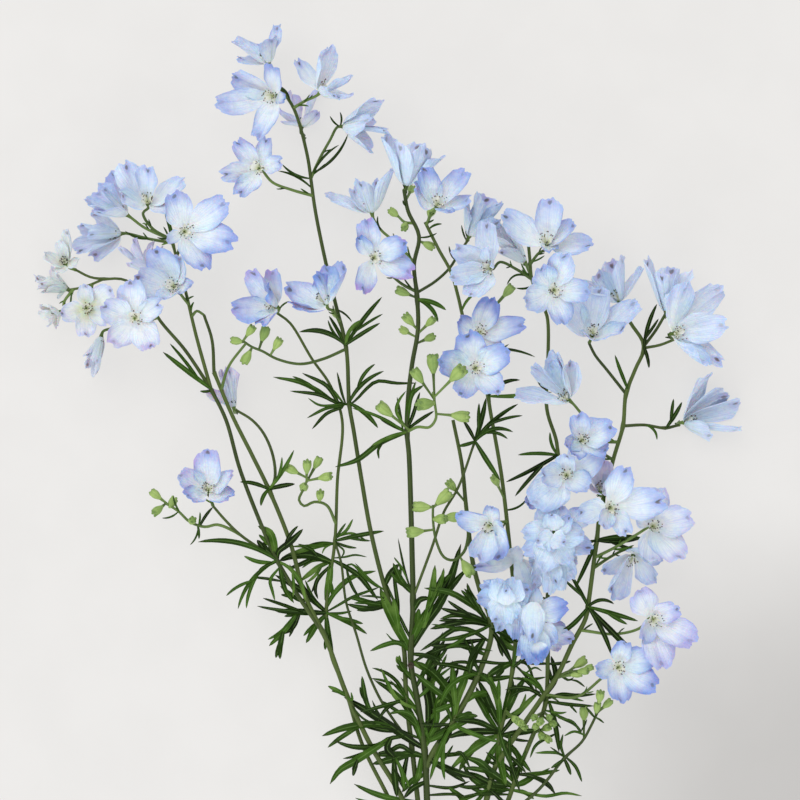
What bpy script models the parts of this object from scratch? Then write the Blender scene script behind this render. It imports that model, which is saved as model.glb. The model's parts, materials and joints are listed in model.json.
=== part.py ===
"""A cut, richly branched delphinium spray that lies on a surface with its flowers facing up.

Metres. +X runs across the spray to its right, +Y from the cut stem end to the top flowers,
and +Z up from the surface that it lies on. Places across the spray are read in the pixels of
the reference photograph, which looks straight down on it, and `spot` turns them into metres.
Heights, radii and lengths are real sizes in millimetres until they are turned into metres.
"""

import math
import random
from collections import namedtuple

import bmesh
import bpy
from mathutils import Matrix, Vector

# Driving dimensions
MM = 0.001
PIXEL_SIZE = 0.58 * MM  # one pixel of the photograph, on the surface that the spray lies on
EYE_HEIGHT = 1.8  # the photograph's eye above that surface
EYE_PIXEL = (400.0, 400.0)  # the pixel that lies straight under the eye
SPRAY_MIDDLE = (388.3, 514.1)  # the pixel at the middle of the spray's box, where X and Y are 0

MIDDLE_HEIGHT = 20.0  # about how high most of the stems lie

CUT_END_HEIGHT = 2.6
STEM_SIDES = 5
TWIG_SIDES = 4
STALK_SIDES = 3

STALK_RADII = (0.85, 0.98)  # at the flower and at the stem
STALK_BEND = 3.5  # how far a stalk runs straight on from its flower before it bends
STALK_ROOT_SHARE = 0.6  # the height at which a stalk looks for its stem, as a share of its flower's
CLOSEST_WAYPOINT = 0.1  # the least run from one point of a stalk to the next, as a share of it
SEAT_GAP = 0.35  # between a flower's base and the end of its stalk

SEPALS = 5
SEPAL_TURN = 360.0 / SEPALS
SEPAL_THICKNESS = 0.8
FLOWER_FOOT_RADIUS = 1.5
CUP_MARKS = ((0.42, 0.06), (0.68, 0.78), (1.0, 1.0))  # a sepal's bend, in shares of its reach
LEAST_REACH = 5.0  # how far from its flower's axis a sepal's tip lies at least
HEART_HEIGHT = 0.24  # the middle of a flower's floor, as a share of its depth
LEAST_SIDE = 0.4  # below this share, a sepal's heading lies too near the axis to steer by

BUD_LENGTH = 9.5
BUD_RADIUS = 2.9
BUD_STALK_RADIUS = 0.7
BUD_RISES = (-2.0, 3.0)  # how far a twig's buds stand below or above it, in turn
BUD_SLANT = 0.4  # how far down its twig a bud's stalk starts, as a share of its distance
BUD_TWIG_RADII = (0.75, 0.9)

LEAF_THICKNESS = 0.9
LEAF_WANDER = 6.0  # how far a lobe's tip may lie above or below the leaf
LOWEST_TIP = 2.0
LEAF_WIDTHS = (2.4, 3.4)  # a lobe's full width, for the shortest and the longest lobe
LEAF_REACH = 60.0  # the length of the longest lobe
LOBE_WAIST = 0.45  # where a lobe is widest, as a share of its length
LOBE_SWAY = 0.05  # how far a lobe bends aside, as a share of its length
LOBE_ARCH = (0.02, 0.06)  # how far a lobe arches upward, as a share of its length
PALM_REACH = (1.2, 0.3)  # how far the notches lie from the node: least in mm, most as a share
LEAF_RISE = 1.1  # from a stem's middle up to the leaf that sits on it

CREASE = math.radians(50.0)  # a sharper edge than this is drawn as an edge

# A stem from its top to its root. Heights are spaced evenly along it, radii run from top to root,
# and the root is moved onto the parent stem.
Stem = namedtuple("Stem", "name path heights radii sides parent")

STEMS = [
    Stem(
        "main",
        [(404, 190), (408, 211), (419, 236), (414, 265), (417, 296), (418, 329), (412, 365),
         (408, 400), (407, 433), (409, 455), (411, 512), (412, 550), (413, 606), (411, 665),
         (416, 692), (424, 745), (427, 799), (429, 870), (430, 1000)],
        (32, 30, 26, 20, 12, CUT_END_HEIGHT), (1.3, CUT_END_HEIGHT), STEM_SIDES, None,
    ),
    Stem(
        "upper_left",
        [(279, 86), (294, 109), (307, 154), (311, 180), (315, 209), (323, 250), (335, 302),
         (346, 348), (349, 405), (353, 429), (361, 480), (370, 532), (384, 589), (401, 641),
         (404, 699), (410, 757), (416, 820), (424, 900)],
        (32, 31, 24, 20, 16, 8), (1.1, 1.9), STEM_SIDES, "main",
    ),
    Stem(
        "left",
        [(214, 372), (232, 415), (252, 455), (269, 490), (290, 543), (304, 595), (325, 640),
         (345, 696), (368, 747), (396, 797), (420, 872)],
        (24, 26, 24, 18, 8), (1.3, 1.9), STEM_SIDES, "main",
    ),
    Stem(
        "left_outer",
        [(211, 389), (226, 420), (240, 470), (266, 539), (275, 560), (296, 598), (318, 634)],
        (24, 30, 26), (1.3, 1.5), TWIG_SIDES, "left",
    ),
    Stem(
        "left_low_arm",
        [(146, 275), (147, 296), (159, 319), (185, 350), (211, 389)],
        (24, 24, 24), (1.0, 1.3), TWIG_SIDES, "left_outer",
    ),
    Stem(
        "left_high_arm",
        [(172, 240), (176, 256), (185, 289), (196, 335), (211, 389)],
        (28, 27, 24), (1.0, 1.3), TWIG_SIDES, "left_outer",
    ),
    Stem(
        "left_short_arm",
        [(204, 315), (212, 340), (214, 372)],
        (30, 24), (1.0, 1.2), TWIG_SIDES, "left",
    ),
    Stem(
        "far_left_twig",
        [(76, 270), (90, 277), (104, 279), (121, 279), (146, 290)],
        (20, 24), (0.85, 0.95), TWIG_SIDES, "left_low_arm",
    ),
    Stem(
        "far_left_fork",
        [(68, 290), (84, 287), (104, 279)],
        (10, 22), (0.85, 0.9), TWIG_SIDES, "far_left_twig",
    ),
    Stem(
        "closed_flower_stalk",
        [(236, 410), (252, 420), (264, 434), (273, 456), (275, 478), (270, 492)],
        (20, 24), (0.9, 1.1), TWIG_SIDES, "left",
    ),
    Stem(
        "slim_left",
        [(277, 313), (290, 323), (312, 359), (330, 385), (342, 420), (337, 480), (334, 540),
         (324, 613), (328, 655), (341, 690), (356, 745), (379, 797), (414, 880)],
        (28, 18, 16, 14, 8), (0.9, 1.5), TWIG_SIDES, "main",
    ),
    Stem(
        "thin_left",
        [(336, 545), (341, 562), (346, 602), (356, 634), (366, 669), (379, 699), (391, 719), (409, 745)],
        (19, 24, 22, 18), (0.85, 1.0), TWIG_SIDES, "upper_left",
    ),
    Stem(
        "low_left_twig",
        [(213, 506), (225, 520), (240, 536), (268, 563)],
        (26, 28), (0.9, 1.1), TWIG_SIDES, "left_outer",
    ),
    Stem(
        "second",
        [(425, 222), (439, 250), (451, 272), (458, 296), (464, 321), (476, 355), (487, 390),
         (490, 409), (501, 472), (506, 512), (511, 560), (515, 600), (515, 650), (506, 707),
         (500, 734), (492, 782), (470, 850), (430, 930)],
        (30, 26, 24, 22, 18, 12, 6), (1.1, 1.8), STEM_SIDES, "main",
    ),
    Stem(
        "link",
        [(468, 240), (458, 255), (450, 268), (437, 281), (420, 293)],
        (22, 21, 25), (0.9, 1.0), TWIG_SIDES, "main",
    ),
    Stem(
        "bud_stem",
        [(453, 420), (462, 465), (466, 505), (473, 563), (480, 590), (492, 628), (481, 669),
         (454, 722), (435, 751), (427, 768)],
        (32, 28, 26, 20, 14), (1.2, 2.3), STEM_SIDES, "main",
    ),
    Stem(
        "right",
        [(621, 303), (630, 322), (644, 346), (635, 370), (626, 394), (623, 426), (614, 457),
         (607, 485), (600, 512), (597, 540), (594, 562), (589, 600), (586, 618), (573, 643),
         (557, 677), (544, 696), (528, 719), (508, 748), (494, 772), (480, 830), (432, 950)],
        (22, 24, 26, 26, 24, 18, 12, 5), (1.2, 2.0), STEM_SIDES, "main",
    ),
    Stem(
        "right_upper_fork",
        [(666, 313), (656, 330), (644, 346)],
        (20, 24), (1.0, 1.1), TWIG_SIDES, "right",
    ),
    Stem(
        "right_lower_fork",
        [(673, 340), (660, 345), (644, 348)],
        (26, 24), (0.9, 1.0), TWIG_SIDES, "right",
    ),
    Stem(
        "right_inner_fork",
        [(589, 343), (595, 355), (607, 370), (626, 394)],
        (26, 24), (0.95, 1.1), TWIG_SIDES, "right",
    ),
    Stem(
        "right_outer_fork",
        [(679, 425), (665, 428), (645, 425), (623, 426)],
        (10, 14, 24), (0.95, 1.1), TWIG_SIDES, "right",
    ),
    Stem(
        "vertical",
        [(528, 240), (530, 261), (532, 280), (540, 300), (547, 316), (548, 363), (547, 409),
         (557, 443), (558, 470), (556, 500), (552, 550), (549, 600), (550, 657), (548, 707),
         (536, 738), (523, 772), (508, 815), (480, 850)],
        (28, 28, 24, 22, 20, 16, 10), (1.1, 1.7), STEM_SIDES, "right",
    ),
    Stem(
        "low_right_twig",
        [(600, 707), (590, 728), (582, 742), (565, 759), (542, 793), (506, 838)],
        (30, 24, 14), (0.9, 1.2), TWIG_SIDES, "vertical",
    ),
    Stem(
        "petiole",
        [(475, 441), (458, 488), (444, 512), (433, 545), (414, 598)],
        (34, 34, 22), (0.85, 1.0), TWIG_SIDES, "main",
    ),
]

# A flower's middle in the photograph and its height, the picture heading and the lean of its axis
# from straight up, the picture heading of one sepal, the radius and the depth of its cup, its
# colour, the stem that carries it, and the route of its stalk, which ends on that stem.
Bloom = namedtuple("Bloom", "number middle height heading lean sepal radius depth tint stem route")

BLOOMS = [
    Bloom(1, (262, 45), 26, 110, 74, 100, 16, 22, "blue", "upper_left", [(273, 74), (279, 86)]),
    Bloom(2, (268, 97), 50, 200, 32, 75, 20, 14, "blue", "upper_left", [(284, 94), (287, 98)]),
    Bloom(3, (330, 82), 42, 42, 52, 98, 18, 19, "blue", "upper_left",
          [(317, 94), (305, 101), (294, 109)]),
    Bloom(4, (363, 126), 30, 0, 70, 35, 17, 24, "blue", "upper_left",
          [(340, 128), (330, 140), (320, 158), (311, 180)]),
    Bloom(5, (303, 111), 8.2, 85, 104, 60, 13, 20, "lilac", "upper_left", [(303, 134), (304, 146)]),
    Bloom(6, (257, 168), 50, 190, 12, 54, 18.5, 12, "blue", "upper_left",
          [(272, 182), (292, 190), (313, 196)]),
    Bloom(7, (147, 195), 44, 90, 36, 88, 18.5, 16, "blue", "left_high_arm",
          [(143, 213), (152, 228), (172, 240)]),
    Bloom(8, (110, 203), 26, 145, 66, 130, 13, 24, "blue", "left_high_arm",
          [(128, 217), (145, 228), (172, 240)]),
    Bloom(9, (103, 235), 16, 186, 60, 160, 14, 22, "blue", "left_high_arm",
          [(126, 236), (150, 239), (173, 245)]),
    Bloom(10, (188, 231), 50, 0, 25, 37, 20, 14, "blue", "left_high_arm", [(180, 246), (176, 257)]),
    Bloom(11, (134, 256), 22, 130, 80, 130, 9, 22, "lilac", "left_low_arm", [(146, 275)]),
    Bloom(12, (171, 284), 46, 140, 20, 71, 18, 14, "blue", "left_high_arm", [(182, 296), (188, 304)]),
    Bloom(13, (135, 318), 53, 0, 6, 90, 19, 12, "pale", "left_low_arm", [(144, 312), (152, 306)]),
    Bloom(14, (87, 308), 34, 0, 10, 20, 14, 10, "green", "far_left_fork", [(90, 296), (92, 285)]),
    Bloom(15, (55, 282), 5.4, 150, 78, 140, 11, 16, "green", "far_left_fork", [(68, 290)]),
    Bloom(16, (62, 258), 26, 120, 40, 100, 10, 11, "green", "far_left_twig", [(76, 270)]),
    Bloom(17, (96, 355), 14, -105, 76, -90, 8, 22, "pale", "left_low_arm",
          [(103, 335), (130, 326), (159, 319)]),
    Bloom(18, (50, 318), 16, 215, 60, 200, 9, 13, "green", "far_left_fork", [(64, 302), (74, 290)]),
    Bloom(19, (230, 388), 13, 100, 78, 90, 8, 22, "lilac", "closed_flower_stalk", [(236, 410)]),
    Bloom(20, (208, 486), 36, 90, 28, 90, 16.5, 13, "blue", "low_left_twig", [(213, 506)]),
    Bloom(21, (268, 302), 38, 150, 40, 116, 17, 15, "blue", "slim_left", [(277, 313)]),
    Bloom(22, (319, 289), 46, 115, 58, 100, 18, 22, "blue", "upper_left", [(332, 310), (339, 322)]),
    Bloom(23, (376, 258), 44, -10, 15, 37, 18.5, 13, "blue", "main",
          [(388, 272), (402, 284), (416, 292)]),
    Bloom(24, (368, 194), 24, 102, 74, 100, 20, 22, "blue", "main",
          [(374, 218), (381, 230), (396, 243), (414, 264)]),
    Bloom(25, (410, 165), 32, 80, 74, 80, 18.5, 24, "blue", "main", [(404, 190)]),
    Bloom(26, (440, 199), 50, 65, 36, 44, 19, 15, "blue", "second", [(432, 213), (426, 225)]),
    Bloom(27, (480, 216), 24, 62, 76, 60, 12, 26, "blue", "link", [(468, 240)]),
    Bloom(28, (487, 268), 50, 180, 22, 65, 19, 14, "blue", "vertical",
          [(500, 262), (516, 269), (532, 279)]),
    Bloom(29, (513, 245), 16, 125, 80, 120, 9.5, 24, "pale", "vertical", [(526, 264), (532, 278)]),
    Bloom(30, (547, 236), 46, 95, 38, 90, 20, 15, "blue", "vertical", [(539, 253), (531, 264)]),
    Bloom(31, (556, 290), 48, 0, 10, 63, 19, 13, "blue", "vertical", [(548, 298), (542, 304)]),
    Bloom(32, (595, 326), 36, 76, 42, 90, 17, 17, "blue", "right_inner_fork", [(589, 343)]),
    Bloom(33, (612, 283), 20, 112, 76, 110, 17, 24, "blue", "right", [(621, 303)]),
    Bloom(34, (663, 289), 20, 98, 78, 100, 14, 26, "blue", "right_upper_fork", [(666, 313)]),
    Bloom(35, (685, 332), 42, 8, 42, -30, 20, 18, "blue", "right_lower_fork", [(673, 340)]),
    Bloom(36, (707, 421), 7.8, 4, 74, 60, 18, 27, "blue", "right_outer_fork", [(679, 425)]),
    Bloom(37, (555, 388), 40, 140, 62, 130, 16, 24, "blue", "right",
          [(573, 403), (586, 420), (600, 440), (618, 442)]),
    Bloom(38, (482, 330), 40, 50, 28, 82, 18, 13, "blue", "second", [(474, 340), (470, 338)]),
    Bloom(39, (477, 368), 56, 0, 8, 45, 19.5, 13, "blue", "second", [(480, 374), (483, 378)]),
    Bloom(40, (584, 438), 54, 60, 22, 43, 15, 12, "blue", "right", [(600, 452), (613, 460)]),
    Bloom(41, (566, 474), 48, 120, 12, 110, 17, 13, "blue", "vertical", [(560, 480), (557, 488)]),
    Bloom(42, (600, 480), 36, 95, 52, 80, 13, 17, "lilac", "right", [(606, 486)]),
    Bloom(43, (612, 508), 58, 0, 8, 50, 19, 12, "blue", "right", [(606, 512), (600, 516)]),
    Bloom(44, (656, 527), 46, 0, 14, 22, 19.5, 14, "pale", "right",
          [(636, 535), (614, 548), (596, 558)]),
    Bloom(45, (632, 566), 28, -100, 48, -80, 15, 16, "blue", "right",
          [(628, 549), (612, 556), (594, 568)]),
    Bloom(46, (556, 524), 48, -60, 32, 20, 16, 14, "blue", "vertical", [(554, 530), (553, 540)]),
    Bloom(47, (553, 566), 38, -88, 54, -90, 12, 18, "blue", "vertical", [(552, 548), (551, 556)]),
    Bloom(48, (540, 496), 34, 190, 30, 180, 14, 14, "blue", "vertical", [(552, 500), (556, 503)]),
    Bloom(49, (487, 530), 46, -120, 28, 140, 16, 14, "blue", "second", [(498, 522), (508, 522)]),
    Bloom(50, (505, 600), 44, -95, 42, -90, 15, 16, "blue", "second", [(510, 590), (514, 598)]),
    Bloom(51, (536, 622), 44, -92, 56, -80, 13, 22, "blue", "vertical", [(540, 604), (549, 598)]),
    Bloom(52, (556, 622), 33, 20, 30, 60, 12, 14, "lilac", "vertical", [(552, 618), (549, 612)]),
    Bloom(53, (504, 555), 33, 185, 40, 150, 12.5, 13, "pale", "second", [(516, 560), (511, 556)]),
    Bloom(54, (657, 621), 42, -20, 18, 127, 19.5, 15, "lilac", "right",
          [(640, 628), (615, 634), (580, 630)]),
    Bloom(55, (620, 668), 40, 0, 8, 29, 17.5, 12, "blue", "right",
          [(602, 678), (576, 697), (545, 695)]),
]

# Each flower's five sepal tips: pixels of the photograph, and how far each tip lies above the
# middle of its flower, in millimetres.
SEPAL_TIPS = {
    1: [(232, 41, 0), (237, 60, -6), (272, 38, 12), (280, 25, -4), (258, 44, -12)],
    2: [(273, 63, 5), (231, 76, 1), (216, 105, 4), (258, 141, 6), (286, 100, -2)],
    3: [(326, 46, 3), (297, 59, -4), (353, 80, 8), (352, 99, 2), (334, 97, 13)],
    4: [(376, 96, 2), (366, 119, 12), (388, 131, 3), (371, 154, -4), (374, 116, -11)],
    5: [(276, 112, 2), (282, 122, 8), (290, 93, -5), (320, 91, -6), (318, 113, 8)],
    6: [(235, 140, 4), (268, 137, 2), (284, 161, 7), (238, 196, 4), (220, 174, 5)],
    7: [(149, 165, 5), (123, 162, 1), (119, 197, 4), (186, 182, 3), (171, 209, 4)],
    8: [(84, 203, 2), (113, 171, -6), (98, 214, 10), (104, 188, 5), (94, 192, -9)],
    9: [(79, 224, 2), (95, 210, -4), (90, 235, 11), (75, 252, 1), (92, 258, -6)],
    10: [(175, 191, 5), (229, 203, 1), (236, 241, 2), (202, 272, 3), (166, 240, 0)],
    11: [(118, 249, 4), (135, 239, -4), (153, 241, -6), (163, 247, 2), (130, 263, 8)],
    12: [(155, 247, 3), (133, 281, 6), (183, 257, 0), (192, 285, 3), (163, 300, 8)],
    13: [(128, 280, 4), (100, 307, 4), (163, 304, 0), (155, 349, 4), (112, 346, 3)],
    14: [(114, 290, 2), (109, 322, 3), (84, 338, 3), (60, 315, 2), (84, 284, 0)],
    15: [(36, 277, 2), (43, 293, 6), (52, 267, -3), (40, 284, 9), (58, 298, -3)],
    16: [(70, 230, 2), (43, 257, 3), (80, 262, 1), (57, 274, 4), (62, 240, 0)],
    17: [(91, 375, 3), (85, 366, -4), (97, 363, 6), (83, 355, 1), (98, 357, -5)],
    18: [(41, 304, 2), (46, 323, 3), (58, 328, 3), (38, 314, -3), (52, 306, 6)],
    19: [(221, 371, 3), (229, 368, 7), (237, 372, 0), (206, 392, -1), (229, 371, -7)],
    20: [(208, 449, 2), (179, 472, 4), (235, 473, 4), (185, 496, 8), (231, 501, 8)],
    21: [(249, 270, 3), (272, 269, 1), (231, 309, 4), (258, 326, 5), (271, 288, 12)],
    22: [(284, 292, -3), (290, 309, 5), (347, 265, 0), (321, 275, 11), (331, 267, -9)],
    23: [(368, 218, 4), (357, 236, 1), (407, 241, 3), (414, 273, 4), (360, 293, 3)],
    24: [(325, 198, 0), (359, 181, 11), (380, 183, -9), (395, 170, 2), (350, 190, -10)],
    25: [(382, 137, 0), (398, 145, 11), (418, 144, -8), (430, 150, 9), (445, 157, -2)],
    26: [(426, 166, 2), (466, 170, 2), (412, 187, 4), (471, 204, 0), (450, 215, 9)],
    27: [(478, 194, 8), (463, 199, 2), (505, 206, 0), (488, 196, -8), (500, 224, 6)],
    28: [(456, 243, 5), (450, 278, 4), (470, 298, 5), (488, 250, 13), (484, 221, -2)],
    29: [(488, 222, -4), (491, 238, 6), (500, 252, 6), (508, 221, -7), (516, 228, 3)],
    30: [(551, 198, 2), (576, 226, 4), (592, 247, 2), (502, 213, -2), (552, 252, 9)],
    31: [(566, 252, 4), (538, 267, 3), (523, 305, 4), (565, 325, 4), (590, 292, 0)],
    32: [(564, 302, 2), (586, 337, 9), (627, 328, 6), (637, 300, -3), (600, 286, -5)],
    33: [(575, 284, 5), (596, 275, -7), (626, 257, 7), (643, 268, -3), (612, 262, -9)],
    34: [(642, 260, 2), (662, 274, 10), (683, 287, 9), (695, 272, -3), (672, 268, -9)],
    35: [(685, 282, 2), (727, 322, 3), (723, 362, -3), (706, 367, 8), (717, 284, -8)],
    36: [(705, 372, 3), (740, 402, -3), (740, 434, 5), (724, 392, -8), (709, 437, 9)],
    37: [(532, 364, 4), (551, 361, -6), (572, 361, -10), (559, 351, 2), (515, 399, 8)],
    38: [(494, 297, 5), (526, 325, 4), (457, 320, 0), (502, 352, -3), (466, 346, -5)],
    39: [(467, 330, 4), (438, 358, 4), (460, 397, 4), (501, 392, 5), (509, 351, 3)],
    40: [(579, 413, 3), (615, 426, 2), (565, 445, 3), (574, 458, 5), (607, 454, 1)],
    41: [(566, 453, 3), (602, 449, 1), (540, 474, 4), (530, 504, 3), (588, 490, 6)],
    42: [(611, 472, 2), (590, 464, 4), (583, 486, 6), (604, 460, -5), (614, 490, -3)],
    43: [(629, 467, 4), (666, 503, 0), (630, 535, 4), (603, 528, 5), (576, 512, 2)],
    44: [(693, 518, 2), (682, 561, 4), (651, 487, -4), (654, 563, 4), (638, 508, 4)],
    45: [(608, 596, 4), (601, 570, -2), (658, 580, 4), (640, 547, 6), (663, 558, -3)],
    46: [(530, 510, -2), (520, 546, 4), (540, 556, 8), (567, 553, 8), (587, 546, 2)],
    47: [(554, 592, 6), (538, 580, 4), (571, 570, 1), (562, 586, -4), (545, 588, -5)],
    48: [(529, 488, 3), (526, 506, 2), (549, 478, -2), (562, 498, 2), (545, 513, 4)],
    49: [(456, 516, 4), (477, 562, 6), (500, 560, 1), (504, 530, -2), (494, 506, -3)],
    50: [(478, 593, 4), (492, 622, 6), (524, 624, 3), (530, 586, -2), (502, 577, -4)],
    51: [(536, 664, 4), (519, 648, 3), (552, 655, 0), (567, 606, -3), (530, 641, 10)],
    52: [(560, 598, 2), (572, 638, 4), (552, 650, 1), (538, 632, 0), (571, 614, 4)],
    53: [(478, 568, 2), (494, 550, -2), (530, 558, 0), (532, 588, 3), (506, 578, 4)],
    54: [(640, 587, 3), (679, 605, 4), (695, 643, 3), (661, 669, 4), (641, 641, 3)],
    55: [(627, 641, 3), (595, 668, 4), (621, 704, 4), (656, 689, 3), (656, 655, 0)],
}

# A twig of buds from its tip to its root on the parent stem, with the places of its buds.
Twig = namedtuple("Twig", "name path heights parent buds")

BUD_TWIGS = [
    Twig("left_buds",
         [(243, 341), (252, 347), (262, 351), (277, 359), (300, 364), (323, 359), (346, 349)],
         (36, 34, 24), "upper_left",
         [(237, 341), (250, 331), (264, 334), (277, 344), (247, 357)]),
    Twig("big_buds",
         [(433, 392), (435, 405), (436, 418), (430, 427), (418, 427), (408, 432)],
         (48, 44, 30), "main",
         [(433, 364), (418, 376), (457, 374), (426, 404), (460, 416), (385, 410)]),
    Twig("curled_buds",
         [(433, 505), (433, 520), (436, 540), (444, 557), (454, 560), (464, 552), (468, 540),
          (469, 528)],
         (44, 40, 26), "bud_stem",
         [(422, 507), (415, 532), (443, 498), (440, 519), (452, 517), (467, 568)]),
    Twig("small_left_buds",
         [(308, 478), (303, 490), (299, 500), (304, 506), (314, 502), (326, 505), (335, 524)],
         (34, 30, 20), "slim_left",
         [(292, 470), (307, 467), (317, 463), (325, 477), (304, 487), (320, 496)]),
    Twig("low_left_buds",
         [(165, 503), (178, 511), (190, 522), (205, 527), (217, 525), (232, 531), (240, 536)],
         (24, 24, 24), "low_left_twig",
         [(156, 495), (158, 510), (172, 503), (192, 521)]),
    Twig("top_buds",
         [(398, 216), (404, 222), (413, 224)],
         (24, 28), "main",
         [(394, 213), (405, 226)]),
    Twig("low_right_buds",
         [(572, 670), (563, 674), (556, 679)],
         (24, 24), "right",
         [(580, 663), (583, 671)]),
]

# Buds that sit on a stem by themselves: the bud, and the point of the stem under it.
Bud = namedtuple("Bud", "place height stem foot")

LONE_BUDS = [
    Bud((411, 190), 20, "main", (406, 202)),
    Bud((431, 212), 24, "second", (426, 226)),
    Bud((428, 245), 28, "main", (418, 241)),
    Bud((403, 292), 30, "main", (417, 298)),
    Bud((409, 320), 34, "main", (418, 330)),
    Bud((430, 322), 34, "main", (418, 334)),
    Bud((405, 331), 22, "main", (418, 338)),
    Bud((429, 338), 26, "main", (417, 344)),
    Bud((336, 314), 18, "upper_left", (343, 334)),
    Bud((508, 291), 30, "second", (470, 336)),
    Bud((452, 486), 34, "bud_stem", (465, 503)),
    Bud((496, 481), 32, "second", (504, 500)),
    Bud((600, 697), 34, "low_right_twig", (598, 712)),
    Bud((607, 704), 28, "low_right_twig", (598, 713)),
    Bud((584, 714), 20, "low_right_twig", (584, 738)),
    Bud((540, 722), 34, "vertical", (540, 732)),
    Bud((546, 728), 26, "vertical", (537, 736)),
    Bud((519, 722), 30, "second", (505, 712)),
]

# A palmate leaf: the point of the stem where its lobes meet, and the tips of the lobes.
Leaf = namedtuple("Leaf", "stem node rise tips")

LEAVES = [
    Leaf("upper_left", (348, 345), 2,
         [(299, 332), (329, 316), (382, 297), (380, 323), (362, 320)]),
    Leaf("upper_left", (349, 403), 0,
         [(273, 377), (300, 371), (306, 419), (332, 366), (384, 371), (311, 430), (378, 428)]),
    Leaf("main", (407, 432), 0,
         [(332, 466), (380, 419), (396, 398), (428, 384), (371, 446), (438, 408)]),
    Leaf("petiole", (475, 441), 2,
         [(463, 420), (458, 446), (513, 432), (486, 398), (518, 404), (500, 480)]),
    Leaf("vertical", (557, 455), -2, [(506, 482), (518, 455)]),
    Leaf("left", (269, 489), 4, [(240, 482), (261, 506), (294, 450), (295, 484)]),
    Leaf("slim_left", (334, 541), 4, [(304, 542), (357, 516), (384, 531), (350, 560)]),
    Leaf("left_outer", (272, 562), 2,
         [(198, 542), (238, 609), (258, 524), (330, 551), (275, 602), (304, 530)]),
    Leaf("slim_left", (326, 613), -2,
         [(257, 606), (272, 645), (281, 660), (318, 560), (368, 546), (367, 634), (390, 572),
          (305, 640)]),
    Leaf("main", (413, 602), 4,
         [(399, 538), (390, 566), (437, 566), (446, 574), (462, 541), (372, 590)]),
    Leaf("main", (411, 652), 4, [(370, 651), (366, 612), (452, 668), (440, 628), (352, 601)]),
    Leaf("main", (426, 750), 2,
         [(322, 736), (330, 784), (362, 676), (392, 681), (336, 690), (372, 763), (470, 700)]),
    Leaf("upper_left", (404, 700), 2, [(372, 668), (378, 722), (440, 668), (360, 712)]),
    Leaf("bud_stem", (489, 624), 2,
         [(425, 588), (434, 640), (447, 606), (468, 580), (452, 655), (524, 648)]),
    Leaf("bud_stem", (478, 673), 4,
         [(432, 664), (440, 706), (520, 664), (498, 700), (462, 634)]),
    Leaf("bud_stem", (452, 724), 4,
         [(408, 724), (430, 780), (500, 742), (488, 700), (436, 690)]),
    Leaf("second", (513, 668), 2,
         [(470, 690), (480, 640), (545, 640), (548, 676), (528, 628)]),
    Leaf("second", (499, 736), 2,
         [(452, 752), (462, 786), (548, 752), (532, 700), (474, 716), (520, 792)]),
    Leaf("vertical", (549, 702), 4,
         [(596, 694), (594, 708), (582, 733), (505, 690), (520, 670), (560, 742)]),
    Leaf("vertical", (521, 776), 4,
         [(560, 770), (556, 795), (486, 752), (498, 722), (545, 742)]),
    Leaf("low_right_twig", (566, 758), 2,
         [(536, 748), (551, 770), (582, 782), (562, 730)]),
    Leaf("right", (588, 606), 3,
         [(569, 572), (614, 604), (638, 621), (644, 664), (612, 656), (553, 637)]),
    Leaf("right", (597, 540), -4, [(644, 537), (570, 556), (575, 588)]),
    Leaf("right", (492, 790), 4,
         [(448, 806), (462, 828), (532, 806), (516, 838), (470, 770)]),
    Leaf("main", (428, 840), 3,
         [(380, 812), (392, 846), (470, 806), (462, 862), (400, 878)]),
    Leaf("left_outer", (211, 388), 2, [(163, 352)]),
    Leaf("second", (489, 396), -2, [(520, 380), (552, 392)]),
    Leaf("right", (645, 347), -2, [(657, 304), (649, 368)]),
    Leaf("right", (624, 388), 2, [(615, 355)]),
    Leaf("right_outer_fork", (667, 427), 3, [(682, 402)]),
    Leaf("main", (418, 300), 2, [(446, 310), (438, 322)]),
    Leaf("left_high_arm", (172, 244), 3, [(165, 214)]),
]

TINTS = {
    "blue": (0.46, 0.60, 0.90, 1.0),
    "pale": (0.68, 0.75, 0.90, 1.0),
    "lilac": (0.57, 0.54, 0.83, 1.0),
    "green": (0.70, 0.78, 0.66, 1.0),
}
STEM_GREEN = (0.10, 0.21, 0.05, 1.0)


def clear_scene():
    for scene_object in list(bpy.data.objects):
        bpy.data.objects.remove(scene_object, do_unlink=True)


def spot(place, height):
    """The point that the eye sees at this pixel of the photograph, at this height in millimetres."""
    nearness = 1.0 - height * MM / EYE_HEIGHT
    eye_x = (EYE_PIXEL[0] - SPRAY_MIDDLE[0]) * PIXEL_SIZE
    eye_y = (SPRAY_MIDDLE[1] - EYE_PIXEL[1]) * PIXEL_SIZE
    x = eye_x + (place[0] - EYE_PIXEL[0]) * PIXEL_SIZE * nearness
    y = eye_y + (EYE_PIXEL[1] - place[1]) * PIXEL_SIZE * nearness
    return Vector((x, y, height * MM))


def between(values, share):
    """The value at this share of the way along evenly spaced values."""
    place = share * (len(values) - 1)
    first = min(int(place), len(values) - 2)
    rest = place - first
    return values[first] * (1.0 - rest) + values[first + 1] * rest


def shares_along(points):
    """How far along its path each point lies, from 0 to 1."""
    lengths = [0.0]
    for start, end in zip(points, points[1:]):
        lengths.append(lengths[-1] + (Vector(end) - Vector(start)).length)
    return [length / lengths[-1] for length in lengths]


def nearest_on(path, point):
    """The point of a path that lies nearest to this point, seen from above."""
    best, best_distance = path[0], 1e9
    flat = Vector((point[0], point[1]))
    for start, end in zip(path, path[1:]):
        run = end - start
        level = Vector((run.x, run.y))
        share = (flat - Vector((start.x, start.y))).dot(level) / max(level.length_squared, 1e-12)
        candidate = start + run * min(max(share, 0.0), 1.0)
        distance = (Vector((candidate.x, candidate.y)) - flat).length
        if distance < best_distance:
            best, best_distance = candidate, distance
    return best.copy()


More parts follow.
